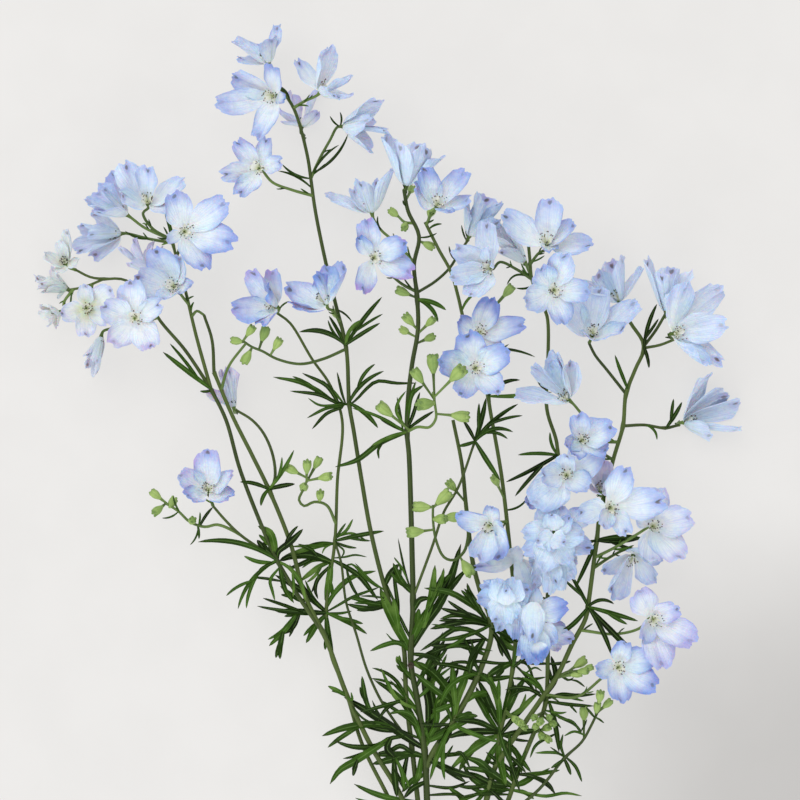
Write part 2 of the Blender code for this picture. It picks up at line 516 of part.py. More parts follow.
def path_points(pixels, heights):
    shares = shares_along(pixels)
    return [spot(pixel, between(heights, share)) for pixel, share in zip(pixels, shares)]


def rooted(points, parent_path):
    """The path with its last point moved onto the parent, and the points before it eased after it."""
    root = nearest_on(parent_path, points[-1])
    shift = root - points[-1]
    shares = shares_along(points)
    return [point + shift * share ** 3 for point, share in zip(points, shares)]


def mesh_object(name, vertices, faces):
    mesh = bpy.data.meshes.new(name)
    mesh.from_pydata([tuple(vertex) for vertex in vertices], [], faces)
    mesh.validate()
    shape = bpy.data.objects.new(name, mesh)
    bpy.context.scene.collection.objects.link(shape)
    return shape


def frames_along(points):
    """A pair of side vectors at each point, carried along the path without a twist."""
    runs = [(end - start).normalized() for start, end in zip(points, points[1:])]
    tangents = [runs[0]]
    tangents += [(before + after).normalized() for before, after in zip(runs, runs[1:])]
    tangents.append(runs[-1])
    side = tangents[0].cross(Vector((0.31, 0.17, 1.0))).normalized()
    frames = []
    for tangent in tangents:
        side = (side - tangent * side.dot(tangent)).normalized()
        frames.append((side, tangent.cross(side)))
    return frames


def lofted(name, points, radii, sides):
    """A closed round body through the points, with a radius in millimetres at each and flat ends."""
    vertices, faces = [], []
    for point, (side, up), radius in zip(points, frames_along(points), radii):
        for corner in range(sides):
            turn = 2.0 * math.pi * corner / sides
            vertices.append(point + (side * math.cos(turn) + up * math.sin(turn)) * radius * MM)
    for ring in range(len(points) - 1):
        for corner in range(sides):
            following = (corner + 1) % sides
            here, there = ring * sides, (ring + 1) * sides
            faces.append((here + corner, here + following, there + following, there + corner))
    faces.append(tuple(reversed(range(sides))))
    faces.append(tuple(range(len(vertices) - sides, len(vertices))))
    return mesh_object(name, vertices, faces)


def tube(name, points, radii, sides):
    """A round tube along the points, whose radius runs evenly from the first to the last."""
    return lofted(name, points, [between(radii, share) for share in shares_along(points)], sides)


def stem_paths():
    """Each stem's points by its name, each rooted on its parent."""
    paths = {}
    waiting = list(STEMS)
    while waiting:
        stem = waiting.pop(0)
        if stem.parent and stem.parent not in paths:
            waiting.append(stem)
            continue
        points = path_points(stem.path, stem.heights)
        paths[stem.name] = rooted(points, paths[stem.parent]) if stem.parent else points
    return paths


def bloom_axis(bloom):
    heading, lean = math.radians(bloom.heading), math.radians(bloom.lean)
    return Vector((
        math.sin(lean) * math.cos(heading),
        math.sin(lean) * math.sin(heading),
        math.cos(lean),
    ))


def bloom_foot(bloom):
    return spot(bloom.middle, bloom.height) - bloom_axis(bloom) * bloom.depth * 0.5 * MM


def bloom_frame(bloom):
    """The matrix that places a flower, whose foot is at its own origin and whose cup opens along Z."""
    axis = bloom_axis(bloom)
    turn = math.radians(bloom.sepal)
    toward = Vector((math.cos(turn), math.sin(turn), 0.0))
    side = toward - axis * toward.dot(axis)
    if side.length < LEAST_SIDE:
        side = Vector((0.0, 0.0, 1.0)) - axis * axis.z
    side.normalize()
    turned = Matrix((side, axis.cross(side), axis)).transposed().to_4x4()
    return Matrix.Translation(bloom_foot(bloom)) @ turned


def sepal_arms(bloom):
    """Each sepal's heading round its flower's axis, its tip's distance from it and its height along it."""
    inverse = bloom_frame(bloom).inverted()
    arms = []
    for x, y, rise in SEPAL_TIPS[bloom.number]:
        tip = inverse @ spot((x, y), bloom.height + rise) / MM
        turn = math.degrees(math.atan2(tip.y, tip.x))
        arms.append((turn, max(math.hypot(tip.x, tip.y), LEAST_REACH), tip.z))
    return sorted(arms)


def cup_curve(radius, depth, share):
    """Radius and height of a sepal's midline at this share of its length, and the cup's inward normal."""
    marks = [(FLOWER_FOOT_RADIUS, 0.0)] + [(out * radius, up * depth) for out, up in CUP_MARKS]
    left = 1.0 - share
    weights = (left ** 3, 3 * left ** 2 * share, 3 * left * share ** 2, share ** 3)
    slopes = (-3 * left ** 2, 3 * left ** 2 - 6 * left * share, 6 * left * share - 3 * share ** 2,
              3 * share ** 2)
    out, up = (sum(w * mark[axis] for w, mark in zip(weights, marks)) for axis in (0, 1))
    run, rise = (sum(s * mark[axis] for s, mark in zip(slopes, marks)) for axis in (0, 1))
    size = math.hypot(run, rise)
    return out, up, (-rise / size, run / size)


# One sepal's edge round its tip: the angle from its midline in degrees, where its neighbours are
# 72 degrees away, the share of its length, and how far that point stands in front of the cup.
SEPAL_EDGE = (
    (-28.0, 0.83, 1.3),
    (-11.0, 1.0, 0.8),
    (13.0, 0.98, 0.0),
    (28.0, 0.83, -1.1),
)
SMALL_SEPAL_EDGE = (
    (-21.0, 0.9, 0.8),
    (2.0, 1.0, 0.3),
    (23.0, 0.88, -0.8),
)
NOTCH = 0.56  # how deep the notch between two sepals lies, as a share of their length
SMALL_FLOWER_RADIUS = 17.6
SEPAL_MIDDLE = 0.66
SEPAL_HOLLOW = -0.6  # how far a sepal's middle stands in front of the cup
CUP_FLOOR = 0.2


CupPoint = namedtuple("CupPoint", "turn radius depth share forward")


def cup_point(point, forward):
    """A point on the flower's cup, in millimetres in its own frame."""
    out, up, normal = cup_curve(point.radius, point.depth, point.share)
    out += normal[0] * (point.forward + forward)
    up += normal[1] * (point.forward + forward)
    turn = math.radians(point.turn)
    return Vector((out * math.cos(turn), out * math.sin(turn), up))


def sepal_edge(bloom):
    return SMALL_SEPAL_EDGE if bloom.radius < SMALL_FLOWER_RADIUS else SEPAL_EDGE


def sepal_layout(bloom):
    """The flower's edge, its sepals' middles and its floor, as points of its cup."""
    arms = sepal_arms(bloom)
    edge, middles, floor = [], [], []
    for number, (turn, radius, depth) in enumerate(arms):
        before, after = arms[number - 1], arms[(number + 1) % SEPALS]
        gap_before, gap_after = (turn - before[0]) % 360.0, (after[0] - turn) % 360.0
        notch = turn - gap_before * 0.5
        reach = NOTCH * min(SEPAL_TURN / gap_before, 1.0)
        shared = (radius + before[1]) * 0.5, (depth + before[2]) * 0.5
        edge.append(CupPoint(notch, *shared, reach, 0.0))
        for angle, share, forward in sepal_edge(bloom):
            gap = gap_before if angle < 0.0 else gap_after
            narrowed = angle * min(gap / SEPAL_TURN, 1.0)
            edge.append(CupPoint(turn + narrowed, radius, depth, share, forward))
        middles.append(CupPoint(turn, radius, depth, SEPAL_MIDDLE, SEPAL_HOLLOW))
        floor.append(CupPoint(notch, *shared, CUP_FLOOR, 0.0))
    return edge, middles, floor


def cup_face(edge, middles, floor, start):
    """Triangles of one face of the cup. The vertices run edge, middles, floor from `start`."""
    per_sepal = len(edge) // SEPALS
    first_middle = start + len(edge)
    first_floor = first_middle + len(middles)
    faces = []
    for sepal in range(SEPALS):
        middle = first_middle + sepal
        rim = [start + (sepal * per_sepal + step) % len(edge) for step in range(per_sepal + 1)]
        here, there = first_floor + sepal, first_floor + (sepal + 1) % SEPALS
        faces.append((here, rim[0], middle))
        faces.append((here, middle, there))
        faces.append((there, middle, rim[-1]))
        for before, after in zip(rim, rim[1:]):
            faces.append((before, after, middle))
    return faces


def bloom_points(bloom, layout):
    """The flower's front face, its back face, its foot and its heart, in millimetres.

    The layout ends with the floor's points, and the foot's lie under them.
    """
    front = [cup_point(point, SEPAL_THICKNESS) for point in layout]
    back = [cup_point(point, 0.0) for point in layout]
    foot = []
    for point in layout[-SEPALS:]:
        turn = math.radians(point.turn)
        foot.append(Vector((math.cos(turn), math.sin(turn), 0.0)) * FLOWER_FOOT_RADIUS)
    heart = Vector((0.0, 0.0, HEART_HEIGHT * bloom.depth + 1.0))
    return front + back + foot + [heart]


def rim_faces(rim, count):
    """The narrow strip that joins the front face to the back face round the edge."""
    faces = []
    for step in range(rim):
        following = (step + 1) % rim
        faces.append((step, count + step, count + following))
        faces.append((step, count + following, following))
    return faces


def foot_faces(count):
    """The tube from the cup's floor down to the foot, and the heart above the floor."""
    first_foot = 2 * count
    heart = first_foot + SEPALS
    faces = [tuple(reversed(range(first_foot, heart)))]
    for corner in range(SEPALS):
        following = (corner + 1) % SEPALS
        here, there = count - SEPALS + corner, count - SEPALS + following
        foot_here, foot_there = first_foot + corner, first_foot + following
        faces.append((here, there, heart))
        faces.append((count + here, foot_here, foot_there))
        faces.append((count + here, foot_there, count + there))
    return faces


def bloom_object(bloom):
    """One flower as a closed cup of five sepals with a small raised heart."""
    edge, middles, floor = sepal_layout(bloom)
    layout = edge + middles + floor
    count = len(layout)
    faces = cup_face(edge, middles, floor, 0)
    faces += [tuple(reversed(face)) for face in cup_face(edge, middles, floor, count)]
    faces += rim_faces(len(edge), count)
    faces += foot_faces(count)
    place = bloom_frame(bloom)
    points = [place @ (point * MM) for point in bloom_points(bloom, layout)]
    flower = mesh_object(f"bloom_{bloom.number:02d}", points, faces)
    face_out(flower)
    return flower


def face_out(shape):
    work = bmesh.new()
    work.from_mesh(shape.data)
    bmesh.ops.recalc_face_normals(work, faces=work.faces)
    work.to_mesh(shape.data)
    work.free()


def stalk(bloom, paths):
    """The flower's stalk, from just under its foot along its axis and down to its stem."""
    axis = bloom_axis(bloom)
    foot = bloom_foot(bloom)
    looked_for = spot(bloom.route[-1], bloom.height * STALK_ROOT_SHARE)
    root = nearest_on(paths[bloom.stem], looked_for)
    bend = foot - axis * STALK_BEND * MM
    points = [foot - axis * SEAT_GAP * MM, bend]
    least_run = (root - bend).length * CLOSEST_WAYPOINT
    shares = shares_along([bend.xy] + [spot(pixel, 0.0).xy for pixel in bloom.route])
    for pixel, share in zip(bloom.route[:-1], shares[1:-1]):
        waypoint = spot(pixel, between((bend.z, root.z), share) / MM)
        if (waypoint - points[-1]).length > least_run:
            points.append(waypoint)
    points.append(root)
    return tube(f"stalk_{bloom.number:02d}", points, STALK_RADII, STALK_SIDES)


# A bud's outline from its foot to its tip: share of its length and of its radius.
BUD_OUTLINE = ((0.0, 0.36), (0.68, 1.0), (1.0, 0.45))
BUD_SIDES = 4


def stalked_bud(name, middle, root):
    """A small closed flower bud, fullest near its blunt tip, on a straight stalk from its root."""
    way = (middle - root).normalized()
    foot = middle - way * BUD_LENGTH * 0.5 * MM
    points = [root] + [foot + way * BUD_LENGTH * along * MM for along, _ in BUD_OUTLINE]
    radii = [BUD_STALK_RADIUS] + [BUD_RADIUS * full for _, full in BUD_OUTLINE]
    return lofted(name, points, radii, BUD_SIDES)


def twig_of_buds(twig, paths):
    points = rooted(path_points(twig.path, twig.heights), paths[twig.parent])
    pieces = [tube(twig.name, points, BUD_TWIG_RADII, TWIG_SIDES)]
    for number, place in enumerate(twig.buds):
        near = nearest_on(points, spot(place, twig.heights[0]))
        middle = spot(place, near.z / MM + BUD_RISES[number % len(BUD_RISES)])
        lower = nearest_on(points, near + (near - middle) * BUD_SLANT)
        pieces.append(stalked_bud(f"{twig.name}_{number}", middle, lower))
    return pieces


def bud_pieces(paths):
    pieces = []
    for twig in BUD_TWIGS:
        pieces += twig_of_buds(twig, paths)
    for number, lone in enumerate(LONE_BUDS):
        root = nearest_on(paths[lone.stem], spot(lone.foot, lone.height))
        pieces.append(stalked_bud(f"lone_{number}", spot(lone.place, lone.height), root))
    return pieces


def lobe_points(root, tip, width, draw):
    """The two sides of a lobe where it is widest. It bends and arches a little on its way."""
    run = tip - root
    side = Vector((-run.y, run.x, 0.0)).normalized()
    sway = side * run.length * draw.uniform(-LOBE_SWAY, LOBE_SWAY)
    arch = Vector((0.0, 0.0, run.length * draw.uniform(*LOBE_ARCH)))
    waist = root + run * LOBE_WAIST + sway + arch
    return waist - side * width * 0.5 * MM, waist + side * width * 0.5 * MM


def lobe_width(root, tip):
    return between(LEAF_WIDTHS, min((tip - root).length / (LEAF_REACH * MM), 1.0))


def notch_between(root, before, after, widths):
    """Where two neighbouring lobes part, going counter-clockwise from the first to the second."""
    start = math.atan2((before - root).y, (before - root).x)
    gap = (math.atan2((after - root).y, (after - root).x) - start) % (2.0 * math.pi)
    middle = start + gap * 0.5
    most = min((before - root).length, (after - root).length) * PALM_REACH[1]
    reach = sum(widths) * 0.25 * MM / max(math.tan(min(gap * 0.5, 1.4)), 0.05)
    reach = min(max(reach, PALM_REACH[0] * MM), most)
    return root + Vector((math.cos(middle) * reach, math.sin(middle) * reach, 0.0))


def palmate_faces(lobes, count):
    """The faces of a palmate leaf whose upper face holds `count` points, and its lower face as many.

    The points of each face run: the root, then a notch and the two sides of a lobe, lobe by lobe.
    The tips, which both faces share, come last.
    """
    faces = []
    for number in range(lobes):
        notch, near, far = 1 + 3 * number, 2 + 3 * number, 3 + 3 * number
        following = 1 + 3 * ((number + 1) % lobes)
        tip = 2 * count + number
        upper = [(0, notch, following), (notch, near, far), (notch, far, following), (near, tip, far)]
        faces += upper
        for face in upper:
            faces.append(tuple(v if v >= 2 * count else v + count for v in reversed(face)))
        faces += [(notch + count, near + count, near), (notch + count, near, notch)]
        faces += [(far + count, following + count, following), (far + count, following, far)]
        faces += [(near + count, tip, near), (tip, far + count, far)]
    return faces


def palmate_leaf(name, root, tips, draw):
    """A leaf cut into long pointed lobes that meet at its root, as one thin blade."""
    tips = sorted(tips, key=lambda tip: math.atan2(tip.y - root.y, tip.x - root.x))
    widths = [lobe_width(root, tip) for tip in tips]
    half_thick = Vector((0.0, 0.0, LEAF_THICKNESS * 0.5 * MM))
    level = [root]
    for number, tip in enumerate(tips):
        before = number - 1
        level.append(notch_between(root, tips[before], tip, (widths[before], widths[number])))
        level += lobe_points(root, tip, widths[number], draw)
    upper = [point + half_thick for point in level]
    lower = [point - half_thick for point in level]
    shape = mesh_object(name, upper + lower + tips, palmate_faces(len(tips), len(level)))
    face_out(shape)
    return shape


def single_lobe(name, root, tip, draw):
    """A leaf of one lobe: flat below, ridged above."""
    near, far = lobe_points(root, tip, lobe_width(root, tip), draw)
    side = (far - near) * 0.3
    ridge = Vector((0.0, 0.0, LEAF_THICKNESS * MM))
    vertices = [root - side, root + side, root + ridge, near, far, (near + far) * 0.5 + ridge, tip]
    faces = [(0, 2, 1), (0, 1, 4, 3), (1, 2, 5, 4), (2, 0, 3, 5), (3, 4, 6), (4, 5, 6), (5, 3, 6)]
    shape = mesh_object(name, vertices, faces)
    face_out(shape)
    return shape


def leaf_pieces(paths):
    pieces = []
    draw = random.Random(7)
    for number, leaf in enumerate(LEAVES):
        root = nearest_on(paths[leaf.stem], spot(leaf.node, MIDDLE_HEIGHT))
        root.z += LEAF_RISE * MM
        tips = []
        for pixel in leaf.tips:
            height = root.z / MM + leaf.rise + draw.uniform(-LEAF_WANDER, LEAF_WANDER)
            tips.append(spot(pixel, max(height, LOWEST_TIP)))
        if len(tips) > 2:
            pieces.append(palmate_leaf(f"leaf_{number:02d}", root, tips, draw))
            continue
        for lobe, tip in enumerate(tips):
            pieces.append(single_lobe(f"leaf_{number:02d}_{lobe}", root, tip, draw))
    return pieces


def join_as_one(body, pieces):
    """Fuses the pieces into the body with one union, and keeps its outer skin alone."""
    group = bpy.data.collections.new("green pieces")
    bpy.context.scene.collection.children.link(group)
    for piece in pieces:
        bpy.context.scene.collection.objects.unlink(piece)
        group.objects.link(piece)
    union = body.modifiers.new("union", "BOOLEAN")
    union.operation = "UNION"
    union.operand_type = "COLLECTION"
    union.collection = group
    union.solver = "MANIFOLD"
    bpy.context.view_layer.update()
    graph = bpy.context.evaluated_depsgraph_get()
    fused = bpy.data.meshes.new_from_object(body.evaluated_get(graph))
    body.modifiers.clear()
    body.data = fused
    for piece in pieces:
        bpy.data.objects.remove(piece, do_unlink=True)
    bpy.data.collections.remove(group)
    keep_outer_skin(body)


def keep_outer_skin(body):
    """Drops every loose scrap and sealed hollow, which are islands of their own in the mesh."""
    work = bmesh.new()
    work.from_mesh(body.data)
    unseen = set(work.verts)
    islands = []
    while unseen:
        reached = [unseen.pop()]
        island = set(reached)
        while reached:
            vertex = reached.pop()
            for edge in vertex.link_edges:
                other = edge.other_vert(vertex)
                if other in unseen:
                    unseen.discard(other)
                    island.add(other)
                    reached.append(other)
        islands.append(island)
    largest = max(islands, key=len)
    spare = [vertex for vertex in work.verts if vertex not in largest]
    bmesh.ops.delete(work, geom=spare, context="VERTS")
    work.to_mesh(body.data)
    work.free()


def shade_round(shape):
    """Draws the facets of a round body as one smooth skin, and keeps its sharp edges."""
    shape.data.shade_smooth()
    shape.data.set_sharp_from_angle(angle=CREASE)


def plain_material(name, colour, roughness):
    material = bpy.data.materials.new(name)
    material.use_nodes = True
    shader = material.node_tree.nodes["Principled BSDF"]
    shader.inputs["Base Color"].default_value = colour
    shader.inputs["Roughness"].default_value = roughness
    shader.inputs["Metallic"].default_value = 0.0
    return material


def give_material(shape, material):
    shape.data.materials.clear()
    shape.data.materials.append(material)


def green_body(paths):
    """Stems, stalks, buds and leaves, which grew as one piece."""
    tubes = {stem.name: tube(stem.name, paths[stem.name], stem.radii, stem.sides) for stem in STEMS}
    body = tubes.pop("main")
    pieces = list(tubes.values())
    pieces += [stalk(bloom, paths) for bloom in BLOOMS]
    pieces += bud_pieces(paths)
    pieces += leaf_pieces(paths)
    join_as_one(body, pieces)
    body.name = "stems_leaves_and_buds"
    body.data.name = body.name
    shade_round(body)
    give_material(body, plain_material("stem_green", STEM_GREEN, 0.55))
    return body


def main():
    clear_scene()
    paths = stem_paths()
    green_body(paths)
    for bloom in BLOOMS:
        flower = bloom_object(bloom)
        shade_round(flower)
        give_material(flower, plain_material(f"{flower.name}_sepals", TINTS[bloom.tint], 0.6))


if __name__ == "__main__":
    main()
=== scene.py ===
"""Looks of a cut, branched delphinium spray that lies on a surface with its flowers facing up.

Metres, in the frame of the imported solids: +X runs across the spray to its right, +Y from the cut
stem end to the top flowers, and +Z up from the surface. Places across the spray are read in the
pixels of the reference photograph, which looks straight down on it, and `spot` turns them into
metres. Heights, radii and lengths are real sizes in millimetres until they are turned into metres.
"""

import json
import math
import random
from collections import namedtuple

import bpy
import numpy as np
from mathutils import Matrix, Vector

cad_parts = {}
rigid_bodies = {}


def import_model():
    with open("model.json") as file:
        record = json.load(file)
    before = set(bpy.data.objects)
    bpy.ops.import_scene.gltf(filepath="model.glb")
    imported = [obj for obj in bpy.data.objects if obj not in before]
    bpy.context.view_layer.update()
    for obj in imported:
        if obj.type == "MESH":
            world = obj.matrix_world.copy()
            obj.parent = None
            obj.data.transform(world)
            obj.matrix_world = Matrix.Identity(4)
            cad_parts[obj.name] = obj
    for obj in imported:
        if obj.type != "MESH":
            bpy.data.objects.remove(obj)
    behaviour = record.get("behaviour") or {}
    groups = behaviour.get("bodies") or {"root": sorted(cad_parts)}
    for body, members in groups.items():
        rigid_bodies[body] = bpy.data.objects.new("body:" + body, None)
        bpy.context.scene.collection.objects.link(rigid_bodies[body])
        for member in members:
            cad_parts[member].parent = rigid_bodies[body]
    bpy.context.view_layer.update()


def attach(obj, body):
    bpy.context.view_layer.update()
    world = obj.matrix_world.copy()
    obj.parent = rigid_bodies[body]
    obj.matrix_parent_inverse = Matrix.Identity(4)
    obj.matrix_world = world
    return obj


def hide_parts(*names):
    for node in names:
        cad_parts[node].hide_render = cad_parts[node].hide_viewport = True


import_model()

# Driving dimensions, the same as the solids'
MM = 0.001
PIXEL_SIZE = 0.58 * MM  # one pixel of the photograph, on the surface that the spray lies on
PHOTO_PIXELS = 800  # across the photograph
EYE_HEIGHT = 1.8  # the photograph's eye above that surface
EYE_PIXEL = (400.0, 400.0)  # the pixel that lies straight under the eye
SPRAY_MIDDLE = (388.3, 514.1)  # the pixel at the middle of the spray's box, where X and Y are 0
MIDDLE_HEIGHT = 20.0  # about how high most of the stems lie
CUT_END_RADIUS = 2.6  # the cut end rests on the surface, so this is its middle's height too

# A stem from its top to its root. Heights are spaced evenly along it, radii run from top to root,
# and the root is moved onto the parent stem.
Stem = namedtuple("Stem", "name path heights radii parent")

STEMS = [
    Stem("main",
         [(404, 190), (408, 211), (419, 236), (414, 265), (417, 296), (418, 329), (412, 365),
         (408, 400), (407, 433), (409, 455), (411, 512), (412, 550), (413, 606), (411, 665),
         (416, 692), (424, 745), (427, 799), (429, 870), (430, 1000)],
         (32, 30, 26, 20, 12, CUT_END_RADIUS), (1.3, CUT_END_RADIUS), None),
    Stem("upper_left",
         [(279, 86), (294, 109), (307, 154), (311, 180), (315, 209), (323, 250), (335, 302),
         (346, 348), (349, 405), (353, 429), (361, 480), (370, 532), (384, 589), (401, 641),
         (404, 699), (410, 757), (416, 820), (424, 900)],
         (32, 31, 24, 20, 16, 8), (1.1, 1.9), "main"),
    Stem("left",
         [(214, 372), (232, 415), (252, 455), (269, 490), (290, 543), (304, 595), (325, 640),
         (345, 696), (368, 747), (396, 797), (420, 872)],
         (24, 26, 24, 18, 8), (1.3, 1.9), "main"),
    Stem("left_outer",
         [(211, 389), (226, 420), (240, 470), (266, 539), (275, 560), (296, 598), (318, 634)],
         (24, 30, 26), (1.3, 1.5), "left"),
    Stem("left_low_arm",
         [(146, 275), (147, 296), (159, 319), (185, 350), (211, 389)],
         (24, 24, 24), (1.0, 1.3), "left_outer"),
    Stem("left_high_arm",
         [(172, 240), (176, 256), (185, 289), (196, 335), (211, 389)],
         (28, 27, 24), (1.0, 1.3), "left_outer"),
    Stem("left_short_arm",
         [(204, 315), (212, 340), (214, 372)],
         (30, 24), (1.0, 1.2), "left"),
    Stem("far_left_twig",
         [(76, 270), (90, 277), (104, 279), (121, 279), (146, 290)],
         (20, 24), (0.85, 0.95), "left_low_arm"),
    Stem("far_left_fork",
         [(68, 290), (84, 287), (104, 279)],
         (10, 22), (0.85, 0.9), "far_left_twig"),
    Stem("closed_flower_stalk",
         [(236, 410), (252, 420), (264, 434), (273, 456), (275, 478), (270, 492)],
         (20, 24), (0.9, 1.1), "left"),
    Stem("slim_left",
         [(277, 313), (290, 323), (312, 359), (330, 385), (342, 420), (337, 480), (334, 540),
         (324, 613), (328, 655), (341, 690), (356, 745), (379, 797), (414, 880)],
         (28, 18, 16, 14, 8), (0.9, 1.5), "main"),
    Stem("thin_left",
         [(336, 545), (341, 562), (346, 602), (356, 634), (366, 669), (379, 699), (391, 719), (409, 745)],
         (19, 24, 22, 18), (0.85, 1.0), "upper_left"),
    Stem("low_left_twig",
         [(213, 506), (225, 520), (240, 536), (268, 563)],
         (26, 28), (0.9, 1.1), "left_outer"),
    Stem("second",
         [(425, 222), (439, 250), (451, 272), (458, 296), (464, 321), (476, 355), (487, 390),
         (490, 409), (501, 472), (506, 512), (511, 560), (515, 600), (515, 650), (506, 707),
         (500, 734), (492, 782), (470, 850), (430, 930)],
         (30, 26, 24, 22, 18, 12, 6), (1.1, 1.8), "main"),
    Stem("link",
         [(468, 240), (458, 255), (450, 268), (437, 281), (420, 293)],
         (22, 21, 25), (0.9, 1.0), "main"),
    Stem("bud_stem",
         [(453, 420), (462, 465), (466, 505), (473, 563), (480, 590), (492, 628), (481, 669),
         (454, 722), (435, 751), (427, 768)],
         (32, 28, 26, 20, 14), (1.2, 2.3), "main"),
    Stem("right",
         [(621, 303), (630, 322), (644, 346), (635, 370), (626, 394), (623, 426), (614, 457),
         (607, 485), (600, 512), (597, 540), (594, 562), (589, 600), (586, 618), (573, 643),
         (557, 677), (544, 696), (528, 719), (508, 748), (494, 772), (480, 830), (432, 950)],
         (22, 24, 26, 26, 24, 18, 12, 5), (1.2, 2.0), "main"),
    Stem("right_upper_fork",
         [(666, 313), (656, 330), (644, 346)],
         (20, 24), (1.0, 1.1), "right"),
    Stem("right_lower_fork",
         [(673, 340), (660, 345), (644, 348)],
         (26, 24), (0.9, 1.0), "right"),
    Stem("right_inner_fork",
         [(589, 343), (595, 355), (607, 370), (626, 394)],
         (26, 24), (0.95, 1.1), "right"),
    Stem("right_outer_fork",
         [(679, 425), (665, 428), (645, 425), (623, 426)],
         (10, 14, 24), (0.95, 1.1), "right"),
    Stem("vertical",
         [(528, 240), (530, 261), (532, 280), (540, 300), (547, 316), (548, 363), (547, 409),
         (557, 443), (558, 470), (556, 500), (552, 550), (549, 600), (550, 657), (548, 707),
         (536, 738), (523, 772), (508, 815), (480, 850)],
         (28, 28, 24, 22, 20, 16, 10), (1.1, 1.7), "right"),
    Stem("low_right_twig",
         [(600, 707), (590, 728), (582, 742), (565, 759), (542, 793), (506, 838)],
         (30, 24, 14), (0.9, 1.2), "vertical"),
    Stem("petiole",
         [(475, 441), (458, 488), (444, 512), (433, 545), (414, 598)],
         (34, 34, 22), (0.85, 1.0), "main"),
]

# A flower's middle in the photograph and its height, the picture heading and the lean of its axis
# from straight up, the picture heading of one sepal, the radius and the depth of its cup, its
# colour, the stem that carries it, and the route of its stalk, which ends on that stem.
Bloom = namedtuple("Bloom", "number middle height heading lean sepal radius depth tint stem route")

